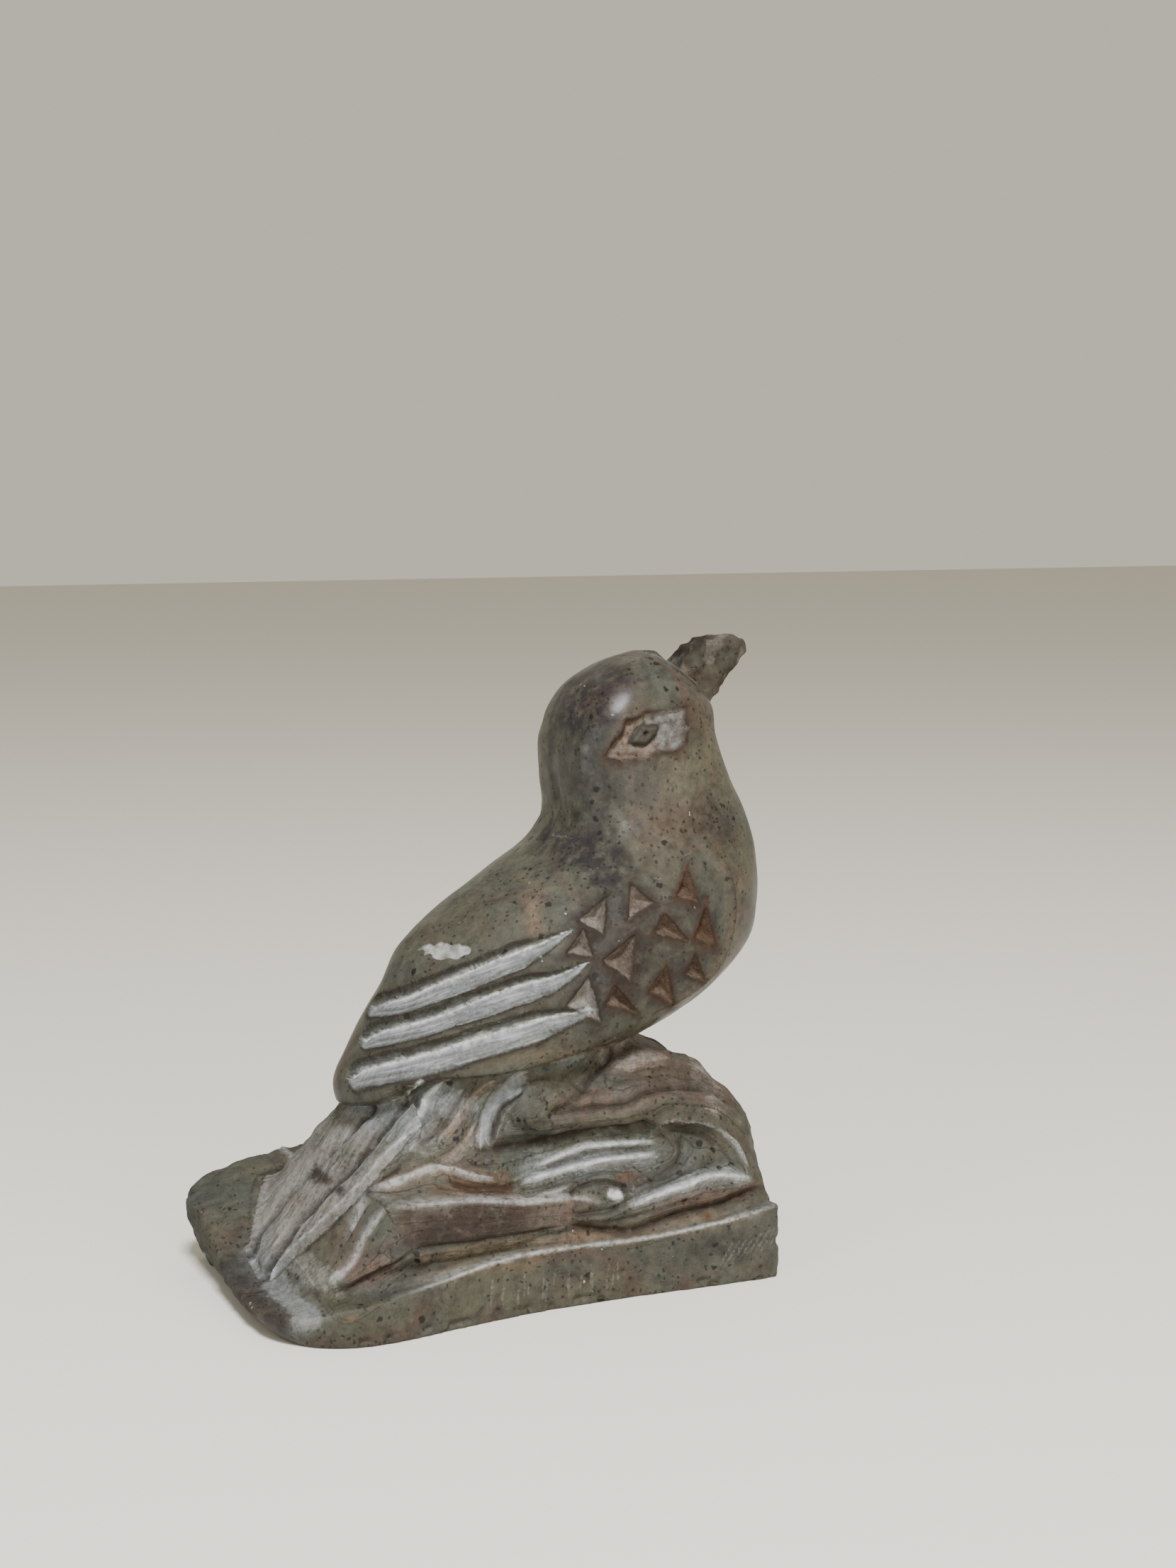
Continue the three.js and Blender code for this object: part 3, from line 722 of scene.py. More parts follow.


# The dark dirt marks along the creases are painted shade as well as dirt, and the light edge marks on the
# ridges and along the tops of the steps are partly a painted highlight.
rockStrokes = [
    # the seam between the thigh and the rock's peak
    ("crease", [(13.4, 29.6), (11.3, 27.9), (9, 26.5), (7.3, 25.4), (6, 24.6), (2.8, 23.4), (-0.1, 22.2)],
     0.9, 0.7, {"dirt_and_shade": (0.7, 0.45)}),
    # the first fold, above and below
    ("crease", [(10.2, 25.6), (12.3, 25.4), (14.4, 25.4), (17.6, 25.1), (20.8, 24.3), (24.3, 22.9),
                (27.2, 20.4)],
     0.6, 0.35, {"dirt_and_shade": (0.3, 0.3)}),
    ("crease", [(-0.1, 22.4), (3.4, 22.8), (7.2, 22.9), (10.5, 22.9), (12.4, 23.8), (14.8, 24.2), (17.9, 24),
                (21.6, 23.2), (25, 21.7), (28.6, 18.6)],
     1, 0.9, {"dirt_and_shade": (0.8, 0.5), "mauve": (0.8, 1.4)}),
    # under the great roll, and where it turns down
    ("crease", [(-8, 18.4), (-6.4, 18.9), (-2.9, 18.9), (-0.1, 18.9), (3.9, 19.3), (7.7, 19.6), (11, 19.5),
                (12.7, 19.7), (14.6, 18.6)],
     1.1, 1.2, {"dirt_and_shade": (1, 0.5)}),
    ("step", [(14.2, 18.2), (15.4, 20.3), (18.8, 19.7), (21.8, 18.7), (24.8, 16.6), (26.2, 14.4),
              (26.7, 12.8)],
     1.2, 0.5, {"dirt_and_shade": (0.35, 0.3), "edge": (0.4, 0.2)}),
    ("crease", [(15.6, 19.2), (18.6, 18.4), (21.6, 17.2), (24.2, 15.2), (25.6, 13.2)],
     0.7, 0.5, {"dirt_and_shade": (0.5, 0.4)}),
    # the lens-shaped hollow and its three tool ridges
    ("gouge", [(-4.5, 15.4), (0, 16.2), (5, 16.8), (10, 16.8), (15.6, 16.2)],
     2.5, 1, {"pale": (0.35, 1.9), "blue": (0.8, 2.2), "rough": (0.9, 2)}),
    ("ridge", [(-1, 16.2), (2.2, 17.1), (5.9, 17.8), (10.3, 17.7), (14.8, 17.4)],
     0.55, 0.4, {"edge": (0.7, 0.22), "pale": (0.8, 0.5)}),
    ("ridge", [(-2.7, 14.8), (0.1, 15.4), (3.5, 15.9), (7.4, 16.2), (11.5, 16.2), (14.7, 16.2)],
     0.55, 0.4, {"edge": (0.8, 0.22), "pale": (0.8, 0.5)}),
    ("crease", [(-0.8, 15.8), (3.5, 16.6), (8.5, 17), (14.4, 16.8)], 0.5, 0.35, {"dirt_and_shade": (0.5, 0.3)}),
    ("ridge", [(-6.5, 13.6), (-3.8, 13.4), (-1.1, 13.3), (1.2, 13.5), (2.6, 14.1)],
     0.55, 0.4, {"edge": (0.3, 0.22), "pale": (0.3, 0.7)}),
    ("crease", [(17.6, 18), (18, 16.2), (16.9, 14.8), (14, 13.9), (11.6, 13.4), (10.4, 12.4)],
     0.8, 0.7, {"dirt_and_shade": (0.6, 0.4)}),
    # the low island in the hollow
    ("crease", [(2.2, 12.2), (3.2, 13.3), (5.2, 13.9), (7.6, 13.8), (9.6, 13), (10.8, 12.5)],
     0.5, 0.5, {"dirt_and_shade": (0.8, 0.35)}),
    ("gouge", [(7.4, 12.8), (8.2, 12.4), (9.2, 12.5)], 0.6, 0.2, {"pale": (1, 0.55), "edge": (0.8, 0.4)}),
    # the lower roll: its pale upper edge, partly a painted highlight, a tool ridge on it, and the dark crease
    # below it, painted shade with dirt and some rust
    ("crease", [(1, 11.1), (4, 10.8), (6.5, 10.8), (8.4, 11.2), (11.9, 12.6), (14.9, 13.5), (19.3, 14.4),
                (23.6, 15.2)],
     0.7, 0.7, {"dirt_and_shade": (0.5, 0.35)}),
    ("ridge", [(9.5, 11.1), (13.1, 11.9), (17.3, 12.7), (21.8, 13.2), (27, 11.8)],
     0.8, 0.4, {"edge": (0.8, 0.28), "pale": (0.6, 1), "blue": (0.9, 1.4), "rough": (0.8, 1.4)}),
    ("crease", [(1.4, 10), (4, 9.2), (6.5, 8.6), (9.8, 8.1), (12.9, 8.5), (15.6, 9.1), (19, 9.4),
                (22.6, 9.7), (26.3, 10.4), (29.6, 10.4)],
     0.9, 1, {"dirt_and_shade": (1, 0.45), "rust": (0.3, 0.9)}),
    # the flat panel: its rim, its lower edge and the shelf above it
    ("step", [(6.4, 11.6), (3.4, 12.6), (-1, 13), (-4.6, 13.3), (-9, 14.1), (-13.6, 14.5), (-20.4, 14.5)],
     0.7, 0.3, {"edge": (0.45, 0.25), "tan": (0.6, 0.6)}),
    ("step", [(-20.4, 14.6), (-22.6, 11.6), (-24.4, 8.6), (-26.6, 6.2)], 0.6, 0.25, {"edge": (0.4, 0.25)}),
    ("crease", [(-19.6, 8.6), (-17, 9.8), (-13, 9.7), (-8, 9.7), (-3, 9.8), (1.2, 9.8)],
     0.8, 0.7, {"dirt_and_shade": (0.9, 0.45)}),
    ("crease", [(-18, 9.4), (-19.6, 8.4), (-22.8, 6.7), (-26.2, 5)], 0.8, 0.5, {"dirt_and_shade": (0.7, 0.45)}),
    ("step", [(-20.2, 14.9), (-16.6, 16.4), (-13.6, 17.4), (-11.4, 17.2), (-9, 16.2), (-6.4, 15.6)],
     0.8, 0.5, {"edge": (0.5, 0.25), "tan": (0.8, 0.8)}),
    ("crease", [(-12.4, 16), (-9.4, 15), (-6, 14.6), (-3.6, 14.4)],
     0.6, 0.5, {"dirt_and_shade": (0.7, 0.4), "rust": (0.6, 0.9)}),
    # under the wing: two thin steps that zigzag down to the tail
    ("step", [(-16.2, 24.2), (-14.6, 24.6), (-14.2, 26.2), (-13.4, 27.2)], 0.6, 0.3, {"edge": (0.9, 0.22)}),
    ("step", [(-17.6, 19.4), (-14.6, 21.6), (-12.9, 23), (-12.3, 24.6), (-11.2, 26), (-10.6, 27.4)],
     0.7, 0.45, {"edge": (0.9, 0.22), "pale": (0.5, 0.6), "blue": (0.9, 1.2)}),
    # the crescent gouge of the thigh and the ragged cuts beside it
    ("gouge", [(-1, 27.2), (-3.8, 25.4), (-5.6, 23.4), (-6.6, 21.2), (-7.4, 18.8)],
     1.1, 1, {"pale": (0.9, 0.9), "blue": (1, 1.1), "rough": (1, 1)}),
    ("gouge", [(-4.8, 26.4), (-6.6, 25.4), (-8.2, 23.8), (-8.8, 22)],
     0.6, 0.7, {"pale": (0.5, 0.5), "tan": (0.6, 0.7), "rough": (1, 0.7)}),
    ("gouge", [(-7.4, 21.8), (-8.6, 20.2), (-10.4, 18.8), (-12.6, 17.8)],
     0.8, 0.5, {"pale": (0.5, 0.9), "tan": (0.5, 0.9), "rough": (1, 1.2)}),
    ("gouge", [(-8.6, 23.4), (-10.2, 21.6), (-11.6, 20.4)],
     0.6, 0.5, {"pale": (0.6, 0.5), "tan": (0.8, 0.9), "rough": (1, 0.8)}),
    ("crease", [(-2.2, 25.6), (-4.4, 23.4), (-5.2, 21.4), (-6, 19.4)], 0.6, 0.6, {"dirt_and_shade": (0.8, 0.35)}),
    ("crease", [(-8.4, 25.8), (-9.6, 23.8), (-11.8, 21.4), (-15.2, 19.2)],
     0.7, 0.5, {"dirt_and_shade": (0.6, 0.4), "moss": (0.7, 1.4)}),
]
for kind, line, width, depth, marked in rockStrokes:
    makeStroke(kind, line, width, depth, marked)

# The foot's sawn near side: the light line along its top edge, scratches, and the hatching at its end.
topEdge = [(x, near - 0.15) for x, near, far, half in footShape["edges"] if x > -23]
nearOnly = {"facings": (-1,), "run": 0}
makeStroke("ridge", topEdge, 0.45, 0.16, {"edge": (0.5, 0.16), "tan": (0.6, 0.5)}, **nearOnly)
for i in range(17):
    x = -8.5 + i * 1.05 + 0.5 * np.sin(i * 2.3)
    low, high = 1.4 + 0.9 * np.sin(i * 1.7), 4.6 + 1.2 * np.sin(i * 3.1 + 1)
    makeStroke("crease", [(x, low), (x + 0.15, high)], 0.35, 0.06, {"pale": (0.36, 0.2)}, **nearOnly)
for i in range(9):
    x = 20.5 + i * 1.0
    hatch = [(x, 1.6 + 0.3 * i), (x + 2.6, 5.4 + 0.2 * i)]
    makeStroke("crease", hatch, 0.35, 0.07, {"pale": (0.34, 0.2)}, **nearOnly)
hook = [(-13.4, 5.2), (-14.6, 5), (-15, 4), (-14.2, 3.2), (-13, 3.2)]
makeStroke("crease", hook, 0.35, 0.12, {"dirt_and_shade": (0.5, 0.2)}, **nearOnly)
print("rock cut")

# The edges of the polished forms: the wing's front edge against the breast, the nape and its cross cut.
wingFront = [(14.2, 33), (18.4, 34.2), (22.6, 36.2), (25.1, 39.4), (26.2, 43.6), (25.8, 48), (24, 51.4)]
wingFront += [(21.4, 53.6)]
makeStroke("step", wingFront, 1.7, 0.42, {"dirt_and_shade": (0.3, 0.35), "tan": (0.5, 1.0)}, sharp=1.1, run=0)
makeStroke("ridge", [(8.2, 66.4), (8.5, 62.0), (8.6, 58.6), (8.7, 55.6)], 1.2, 0.28, {}, sharp=1.0, run=0)
napeCross = [(3.4, 52.6), (5.6, 54), (8.6, 54.8), (11, 55.2)]
makeStroke("crease", napeCross, 1.2, 0.2, {"dirt_and_shade": (0.25, 0.3)}, run=0)
makeStroke("crease", [(4.6, 52.8), (7.8, 53.7)], 0.3, 0.05, {"pale": (0.35, 0.16)}, **nearOnly)
for i in range(8):
    x, z = 11.2 + 1.1 * i * (i % 3 - 0.6), 56.4 - 1.0 * i
    scratch = [(x, z), (x + 1.4, z + 1.3 - 0.5 * (i % 4))]
    makeStroke("crease", scratch, 0.3, 0.04, {"pale": (0.28, 0.16)}, **nearOnly)
browLine = [(18.2, 75.6), (19.8, 75.1), (21.4, 74.2), (23, 73), (24.6, 71.8), (26, 70.8), (27, 69)]
makeStroke("step", browLine, 1.6, -0.35, {"edge": (0.25, 0.2), "dirt_and_shade": (0.3, 0.5)}, sharp=0.8, run=0)

# The two grooves of the tail, painted lit on one wall and darker on the other, and a dark line round its edge
# with a painted highlight along its near side.
tailTime = np.clip(inTail, 0, 1)
onTail = nearTail & (abs(acrossTail) < 1.03) & (abs(overTail) < 1.4)
for groove in tailShape["grooves"]:
    beside = (acrossTail - along(groove, tailTime)) * along(tailShape["half"], tailTime)
    lift -= onTail * 0.5 * bell(beside, 0.7)
    addMark("dirt_and_shade", onTail * 0.85 * bell(beside - 0.25, 0.4))
    addMark("moss", onTail * 0.7 * bell(beside - 0.9, 0.9))
    addMark("blue", onTail * 0.9 * bell(beside + 1.1, 0.8))
    addMark("pale", onTail * 0.75 * bell(beside + 1.1, 0.8))
    addMark("edge", onTail * 0.5 * bell(beside + 1.0, 0.2))
rim = nearTail & (overTail > -2.5)
addMark("dirt_and_shade", rim * 0.8 * bell(abs(acrossTail) - 1.06, 0.035))
addMark("edge", rim * 0.4 * bell(acrossTail + 0.97, 0.025))
addMark("pale", onTail * (0.5 + 0.2 * lumps(places, 3.0, 71)))
addMark("rough", onTail * 0.8)
tailPoints = np.where(onTail)[0]
strokeNear[tailPoints] = np.inf
addRun(tailPoints, inTail[tailPoints] * 27, places[tailPoints, 1], 99, 0.55)
barbs = np.c_[places[tailPoints, 0] * 0.2, places[tailPoints, 1:] * (1.6, 0.2)]
lift[tailPoints] += 0.1 * lumps(barbs, 1.0, 72)

# Broken and weathered surfaces: the stub of the beak, and the rock as a whole.
pastBrow = smoothStep(places[:, 0] + 0.75 * (places[:, 2] - 72.5), 23.6, 24.6)
beakZone = pastBrow * smoothStep(places[:, 2], 68.5, 70.5)
lift += beakZone * (0.4 * lumps(places, 1.9, 21) + 0.22 * lumps(places, 0.8, 22))
addMark("rough", beakZone)
addMark("dirt_and_shade", beakZone * (0.45 + 0.35 * lumps(places, 1.4, 23)))
addMark("pale", beakZone * 0.5 * smoothStep(lumps(places, 1.5, 25), 0.0, 0.5))
addMark("tan", beakZone * 0.35 * smoothStep(lumps(places, 2.0, 24), -0.2, 0.4))
addMark("dirt_and_shade", beakZone * 0.9 * smoothStep(places[:, 2] - 0.55 * places[:, 0], 60.4, 61.4))
rockZone = 1 - onBird
sawnSide = smoothStep(footEdgeAt - places[:, 2], 0.2, 0.8) * (places[:, 1] < 0)
strokeBump = lumps(np.c_[strokeRun[:, 0] * 0.22, strokeRun[:, 1] * 1.3, 0 * strokeRun[:, 0]], 1.0, 33)
lift += rockZone * (0.2 * lumps(places, 2.6, 31) + 0.15 * lumps(places, 1.1, 32)) * (1 - 0.6 * sawnSide)
lift += rockZone * marks["streak"] * 0.24 * strokeBump * ~onTail
lift += onBird * (0.12 * lumps(places, 7.0, 41) + 0.035 * lumps(places, 2.4, 42)) * (1 - beakZone)
lowChips = smoothStep(lumps(places, 1.6, 51), 0.25, 0.7) * smoothStep(1.6 - places[:, 2], 0, 1.0)
lift -= 0.5 * lowChips * (abs(normals[:, 2]) < 0.7)
endCorner = smoothStep(places[:, 0], 28.6, 29.8) * smoothStep(lumps(places, 1.8, 52), -0.1, 0.6)
lift -= 0.45 * endCorner * (places[:, 2] < 11)
# The chiselled end below the tail.
toeZone = smoothStep(-places[:, 0], 26.5, 28.5) * smoothStep(14 + places[:, 1], 0, 4)
toeZone *= (places[:, 2] > 2) * ~nearTail
chiselled = np.c_[places[:, 0] * 0.4, (places[:, 1] + places[:, 2]) * 1.2, places[:, 2] * 0.3]
lift += toeZone * 0.14 * lumps(chiselled, 1.2, 53)
addMark("rough", rockZone * 0.35)
addMark("rough", toeZone * 0.8)

# Patches of each mark on the stone, seen from the near side: x and z, how wide and high, how strong.
tintPatches = {
    "purple": [
        (8.8, 69.4, 3.6, 4.6, 0.9), (12.4, 72.4, 4.4, 2.2, 0.8), (9.4, 61.5, 3.4, 6, 0.55),
        (13, 60, 4, 3, 0.5), (9.2, 51.6, 4.2, 4.6, 0.9), (10.4, 40.2, 4.6, 4.4, 0.95),
        (16.2, 38.6, 4, 4.4, 0.75), (12.6, 46, 4.6, 3.2, 0.6), (24.6, 55.4, 3, 4.6, 0.5),
        (19.7, 5, 4.6, 2.2, 0.6), (24, 4, 2, 1.6, 0.5), (-2, 2.6, 3, 1.2, 0.4), (-33, 6, 3, 5, 0.6),
    ],
    "tan": [
        (0.3, 44.6, 0.9, 2.4, 1), (1.6, 47.6, 0.6, 1.8, 0.8), (19.6, 60.4, 4, 2.4, 0.12),
        (15.2, 55, 4.4, 2.6, 0.2), (25.6, 64, 2.4, 7, 0.25), (27, 43, 2.6, 8, 0.4),
        (2, 29.6, 9, 0.7, 0.35), (-5.2, 6.4, 5, 1, 0.6), (3, 8.2, 7, 0.8, 0.8), (16, 8.4, 8, 0.7, 0.5),
        (-25.8, 3.7, 0.6, 0.45, 1), (-10, 8.6, 9, 1, 0.6), (14.4, 27.6, 6.6, 2.4, 0.3),
    ],
    "mauve": [
        (14.4, 27.6, 6.6, 2.4, 0.85), (22, 23.4, 5, 3, 0.7), (6, 23.9, 5, 0.8, 0.7),
        (-11, 12.2, 9.6, 2.1, 1), (0.4, 11.2, 5, 1.6, 0.9), (-22.4, 7.6, 3.4, 2, 0.8),
        (19, 10.8, 9, 1, 0.95), (-24.6, 13, 3, 5, 0.5),
    ],
    "pale": [
        # The first patch lightens the top of the first fold below the wing, which faces up: painted light.
        (14.4, 27.8, 5.8, 2.2, 0.5), (24, 23, 3, 4, 0.38), (-14, 21, 3, 3, 0.42),
        (-4.6, 22.6, 2, 3.4, 0.3), (-30.4, 3.8, 1.6, 2.6, 0.5), (-27.8, 6.6, 2.2, 1.4, 0.45),
        (-15.6, 23.2, 2.6, 2, 0.5), (-10.6, 24.2, 3.4, 2, 0.42), (5.4, 28, 4, 0.5, 0.5),
    ],
    "dirt_and_shade": [
        (-11, 11.8, 10, 2.6, 0.8), (10.2, 39.4, 3.4, 3.6, 0.4), (-23.4, 14.6, 1.3, 0.8, 0.9),
        (12, 40.8, 3, 3, 0.4),
    ],
    "moss": [
        (-25.4, 3.4, 2.4, 2.8, 1), (-31, 10, 5, 4, 0.7), (5, 21.2, 9, 1.5, 0.8), (15, 22, 5, 1.6, 0.8),
        (0.4, 24.4, 3.4, 3, 0.9), (6.2, 12.6, 3, 0.9, 0.8), (-14.6, 20.4, 2.8, 2, 0.8),
        (-19.4, 14.4, 2.6, 2.6, 0.7), (1, 33, 9, 1.6, 0.6), (-9, 43.6, 7, 3.4, 0.6),
    ],
    "rough": [
        (9.6, 50.8, 7, 6, 0.85), (1, 46, 7, 4, 0.5), (-6, 40.6, 8, 3, 0.4),
    ],
    "rust": [
        (10.2, 14.1, 1.6, 0.6, 0.6), (-6.1, 15.6, 1.8, 0.8, 0.5), (-12.6, 15.2, 2, 0.6, 0.4),
        (20.1, 8.5, 0.4, 0.35, 1),
    ],
    "blue": [
        (-10.6, 24.4, 3.6, 2.2, 0.9), (-17, 22.4, 2.4, 2.4, 0.9), (2, 27.4, 8, 0.8, 0.8),
        (3.2, 17, 8, 1.4, 0.6), (-30.4, 3.8, 2.2, 3.4, 0.6),
    ],
}
tintRows = [(name, *patch) for name, patches in tintPatches.items() for patch in patches]
for name, x, z, wide, high, strength in tintRows:
    boxed = (abs(side - (x, z)) < (1.8 * wide + 1, 1.8 * high + 1)).all(1)
    close = np.where((places[:, 1] < 2) & boxed)[0]
    away = np.hypot((side[close, 0] - x) / wide, (side[close, 1] - z) / high)
    away += 0.3 * lumps(places[close], 2.2, 81) + 0.2 * lumps(places[close], 0.9, 82)
    addMark(name, strength * smoothStep(1.25 - away, 0, 0.7), close)

# The white chip on the back.
chip = np.where((places[:, 1] < 0) & (abs(side - (-8.9, 41.25)) < 4).all(1))[0]
chipX, chipZ = side[chip, 0] + 8.9, side[chip, 1] - 41.25
chipAway = np.hypot(chipX / 1.9, (chipZ - 0.15 * chipX) / 0.75)
chipIn = smoothStep(1.1 - chipAway - 0.25 * lumps(places[chip], 0.7, 83), 0, 0.2)
lift[chip] -= 0.25 * chipIn * (1 + 0.4 * lumps(places[chip], 0.6, 84))
addMark("pale", chipIn, chip)
addMark("edge", chipIn * 0.45 * smoothStep(lumps(places[chip], 0.7, 85), -0.4, 0.3), chip)
addMark("rough", chipIn, chip)

underneath = smoothStep(-normals[:, 2], 0.75, 0.95) * (places[:, 2] < 1.0)
lift *= 1 - underneath
places = places + normals * lift[:, None]
places[:, 2] = np.maximum(places[:, 2], 0)
places = np.clip(places + carvingShift, np.array(lowCorner) / mm, np.array(highCorner) / mm) * mm
writeMesh(stoneMesh, places)
for name, values in marks.items():
    layer = stoneMesh.attributes.new(name, "FLOAT", "POINT")
    layer.data.foreach_set("value", np.clip(values, 0, 1).astype(np.float32))
for name, values in zip(("run", "beside"), strokeRun.T):
    layer = stoneMesh.attributes.new(name, "FLOAT", "POINT")
    layer.data.foreach_set("value", values.astype(np.float32))
print("stone carved")

mostTriangles = 190000
stone = addObject("carved_soapstone_bird", stoneMesh)
thin = stone.modifiers.new("thin", "DECIMATE")
thin.ratio = min(1, mostTriangles / (2 * len(stoneMesh.polygons)))
thinMesh = withModifiers(stone)
stone.modifiers.clear()
stone.data = thinMesh
thinMesh.name = "carved_soapstone"
thinMesh.shade_smooth()
print("skin thinned to", len(thinMesh.polygons), "faces")


# Finishes.

def linear(colour):
    parts = [int(colour[i : i + 2], 16) / 255 for i in (1, 3, 5)]
    return (*(c / 12.92 if c <= 0.04045 else ((c + 0.055) / 1.055) ** 2.4 for c in parts), 1)


def addNode(tree, kind, settings, inputs):
    node = tree.nodes.new(kind)
    for name, value in settings.items():
        setattr(node, name, value)
    for name, value in inputs.items():
        if isinstance(value, bpy.types.NodeSocket):
            tree.links.new(value, node.inputs[name])
        else:
            node.inputs[name].default_value = value
    return node


# Soapstone (steatite), shaped with knives and gouges, then sanded and waxed by hand.
# To the eye: a soft satin sheen on olive and purple-grey clouds with black specks, and chalky pale
# blue-grey, streaked along the cut, where a blade has gone through the polish.
polishedSoapstone = {
    "olive": "#3d3c31",
    "grey": "#363730",
    "brown": "#3a3028",
    "purple": "#1c181a",
    "mauve": "#4c3e36",
    "moss": "#36352a",
    "tan": "#5b4a3a",
    "pale": "#6d6b64",
    "paleBlue": "#6e7373",
    "paleTan": "#766659",
    "blueWash": "#535856",
    # Dark brown for dirt, also used as painted shade in creases, groove rims and hollows.
    "dirt_and_shade": "#1f1912",
    "rust": "#46260f",
    # Light grey for rubbed edges and the white chip, also used as a painted highlight along arrises, ridges
    # and step edges.
    "edge": "#b4b7b3",
    "speck": "#13110e",
    "lightSpeck": "#a49c8c",
    "cloudSize": 11.0,
    "brownSize": 7.0,
    "purpleSize": 6.0,
    "mottleSize": 1.5,
    "grainSize": 0.5,
    "crowdSize": 7.0,
    "jogSize": 0.7,
    "speckSize": 1.8,
    "fineSpeckSize": 0.6,
    "lightSpeckSize": 1.15,
    "ior": 1.56,
    "specular": 0.13,
    "sheen": 0.29,
    "chalk": 0.88,
    "bump": 0.7,
    "bumpHeight": 0.32,
}


def makeSoapstone(finish):
    material = bpy.data.materials.new("waxed_soapstone")
    material.use_nodes = True
    tree = material.node_tree
    shader = tree.nodes["Principled BSDF"]
    perMetre = 1 / mm
    place = addNode(tree, "ShaderNodeTexCoord", {}, {}).outputs["Object"]

    def marked(name):
        return addNode(tree, "ShaderNodeAttribute", {"attribute_name": name}, {}).outputs["Fac"]

    def noise(size, detail, rough, at=place, twist=0.0):
        inputs = {"Vector": at, "Scale": perMetre / size, "Detail": detail}
        inputs.update({"Roughness": rough, "Distortion": twist})
        return addNode(tree, "ShaderNodeTexNoise", {}, inputs).outputs["Fac"]

    def ranged(value, low, high, toLow=0.0, toHigh=1.0):
        inputs = {"Value": value, "From Min": low, "From Max": high, "To Min": toLow, "To Max": toHigh}
        return addNode(tree, "ShaderNodeMapRange", {}, inputs).outputs["Result"]

    def maths(operation, a, b):
        return addNode(tree, "ShaderNodeMath", {"operation": operation}, {0: a, 1: b}).outputs[0]

    def mixed(amount, a, b, blend="MIX"):
        settings = {"data_type": "RGBA", "blend_type": blend}
        return addNode(tree, "ShaderNodeMix", settings, {0: amount, 6: a, 7: b}).outputs[2]

    def tone(name):
        return linear(finish[name])

    def tinted(colour, name, amount=1.0, size=1.6, low=0.3, high=0.55):
        broken = ranged(noise(size, 5, 0.65), low, high, 0, amount)
        return mixed(maths("MULTIPLY", marked(name), broken), colour, tone(name))

    # Lines left by the tool: noise drawn out along each stroke.
    stretched = {0: maths("MULTIPLY", marked("run"), 0.16), 1: maths("MULTIPLY", marked("beside"), 1.7)}
    strokeAt = addNode(tree, "ShaderNodeCombineXYZ", {}, stretched).outputs[0]
    lines = {"Vector": strokeAt, "Scale": 1.0, "Detail": 4, "Roughness": 0.6}
    drawn = addNode(tree, "ShaderNodeTexNoise", {}, lines)
    streak = maths("MULTIPLY", marked("streak"), ranged(drawn.outputs["Fac"], 0.3, 0.7, -1, 1))

    cloud = noise(finish["cloudSize"], 4, 0.6, twist=0.6)
    colour = mixed(ranged(cloud, 0.42, 0.6), tone("olive"), tone("grey"))
    browner = ranged(noise(finish["brownSize"], 3, 0.55, twist=0.8), 0.5, 0.68, 0, 0.8)
    colour = mixed(browner, colour, tone("brown"))
    darker = ranged(noise(finish["purpleSize"], 5, 0.62, twist=1.2), 0.58, 0.72, 0, 0.6)
    colour = mixed(darker, colour, tone("purple"))
    colour = tinted(colour, "purple", 0.95)
    colour = tinted(colour, "moss", 0.85)
    colour = tinted(colour, "mauve", 1.0)
    colour = tinted(colour, "tan", 0.75, size=1.1)
    wash = maths("MULTIPLY", marked("blue"), ranged(noise(1.8, 4, 0.6), 0.3, 0.6, 0, 0.7))
    colour = mixed(wash, colour, tone("blueWash"))
    mottle = ranged(noise(finish["mottleSize"], 8, 0.8), 0.3, 0.7, 0.5, 1.5)
    mottle = maths("ADD", mottle, maths("MULTIPLY", streak, 0.16))
    grey = addNode(tree, "ShaderNodeCombineColor", {}, {0: mottle, 1: mottle, 2: mottle}).outputs[0]
    colour = mixed(1.0, colour, grey, "MULTIPLY")

    # Black specks, crowded in places, and a few light ones.
    jog = {"Vector": place, "Scale": perMetre / finish["jogSize"], "Detail": 3}
    wobble = addNode(tree, "ShaderNodeTexNoise", {}, jog)
    jogged = {0: wobble.outputs["Color"], 1: (0.9 * mm,) * 3, 2: place}
    speckAt = addNode(tree, "ShaderNodeVectorMath", {"operation": "MULTIPLY_ADD"}, jogged).outputs[0]
    crowd = ranged(noise(finish["crowdSize"], 2, 0.5), 0.42, 0.62)

    def specks(size, reach, chosenFrom, crowded):
        cells = addNode(tree, "ShaderNodeTexVoronoi", {}, {"Vector": speckAt, "Scale": perMetre / size})
        chosen = addNode(tree, "ShaderNodeSeparateColor", {}, {0: cells.outputs["Color"]}).outputs[0]
        chosen = maths("ADD", chosen, maths("MULTIPLY", crowd, crowded))
        dot = ranged(cells.outputs["Distance"], reach * 0.7, reach, 1, 0)
        return maths("MULTIPLY", dot, ranged(chosen, chosenFrom, chosenFrom + 0.02))

    speckKinds = (
        ("speck", finish["speckSize"], 0.26, 0.92, 0.3, 0.9),
        ("speck", finish["fineSpeckSize"], 0.4, 0.84, 0.2, 0.7),
        ("lightSpeck", finish["lightSpeckSize"], 0.16, 1.05, 0.14, 0.55),
    )
    for tint, size, reach, chosenFrom, crowded, strength in speckKinds:
        dots = maths("MULTIPLY", specks(size, reach, chosenFrom, crowded), strength)
        colour = mixed(dots, colour, tone(tint))

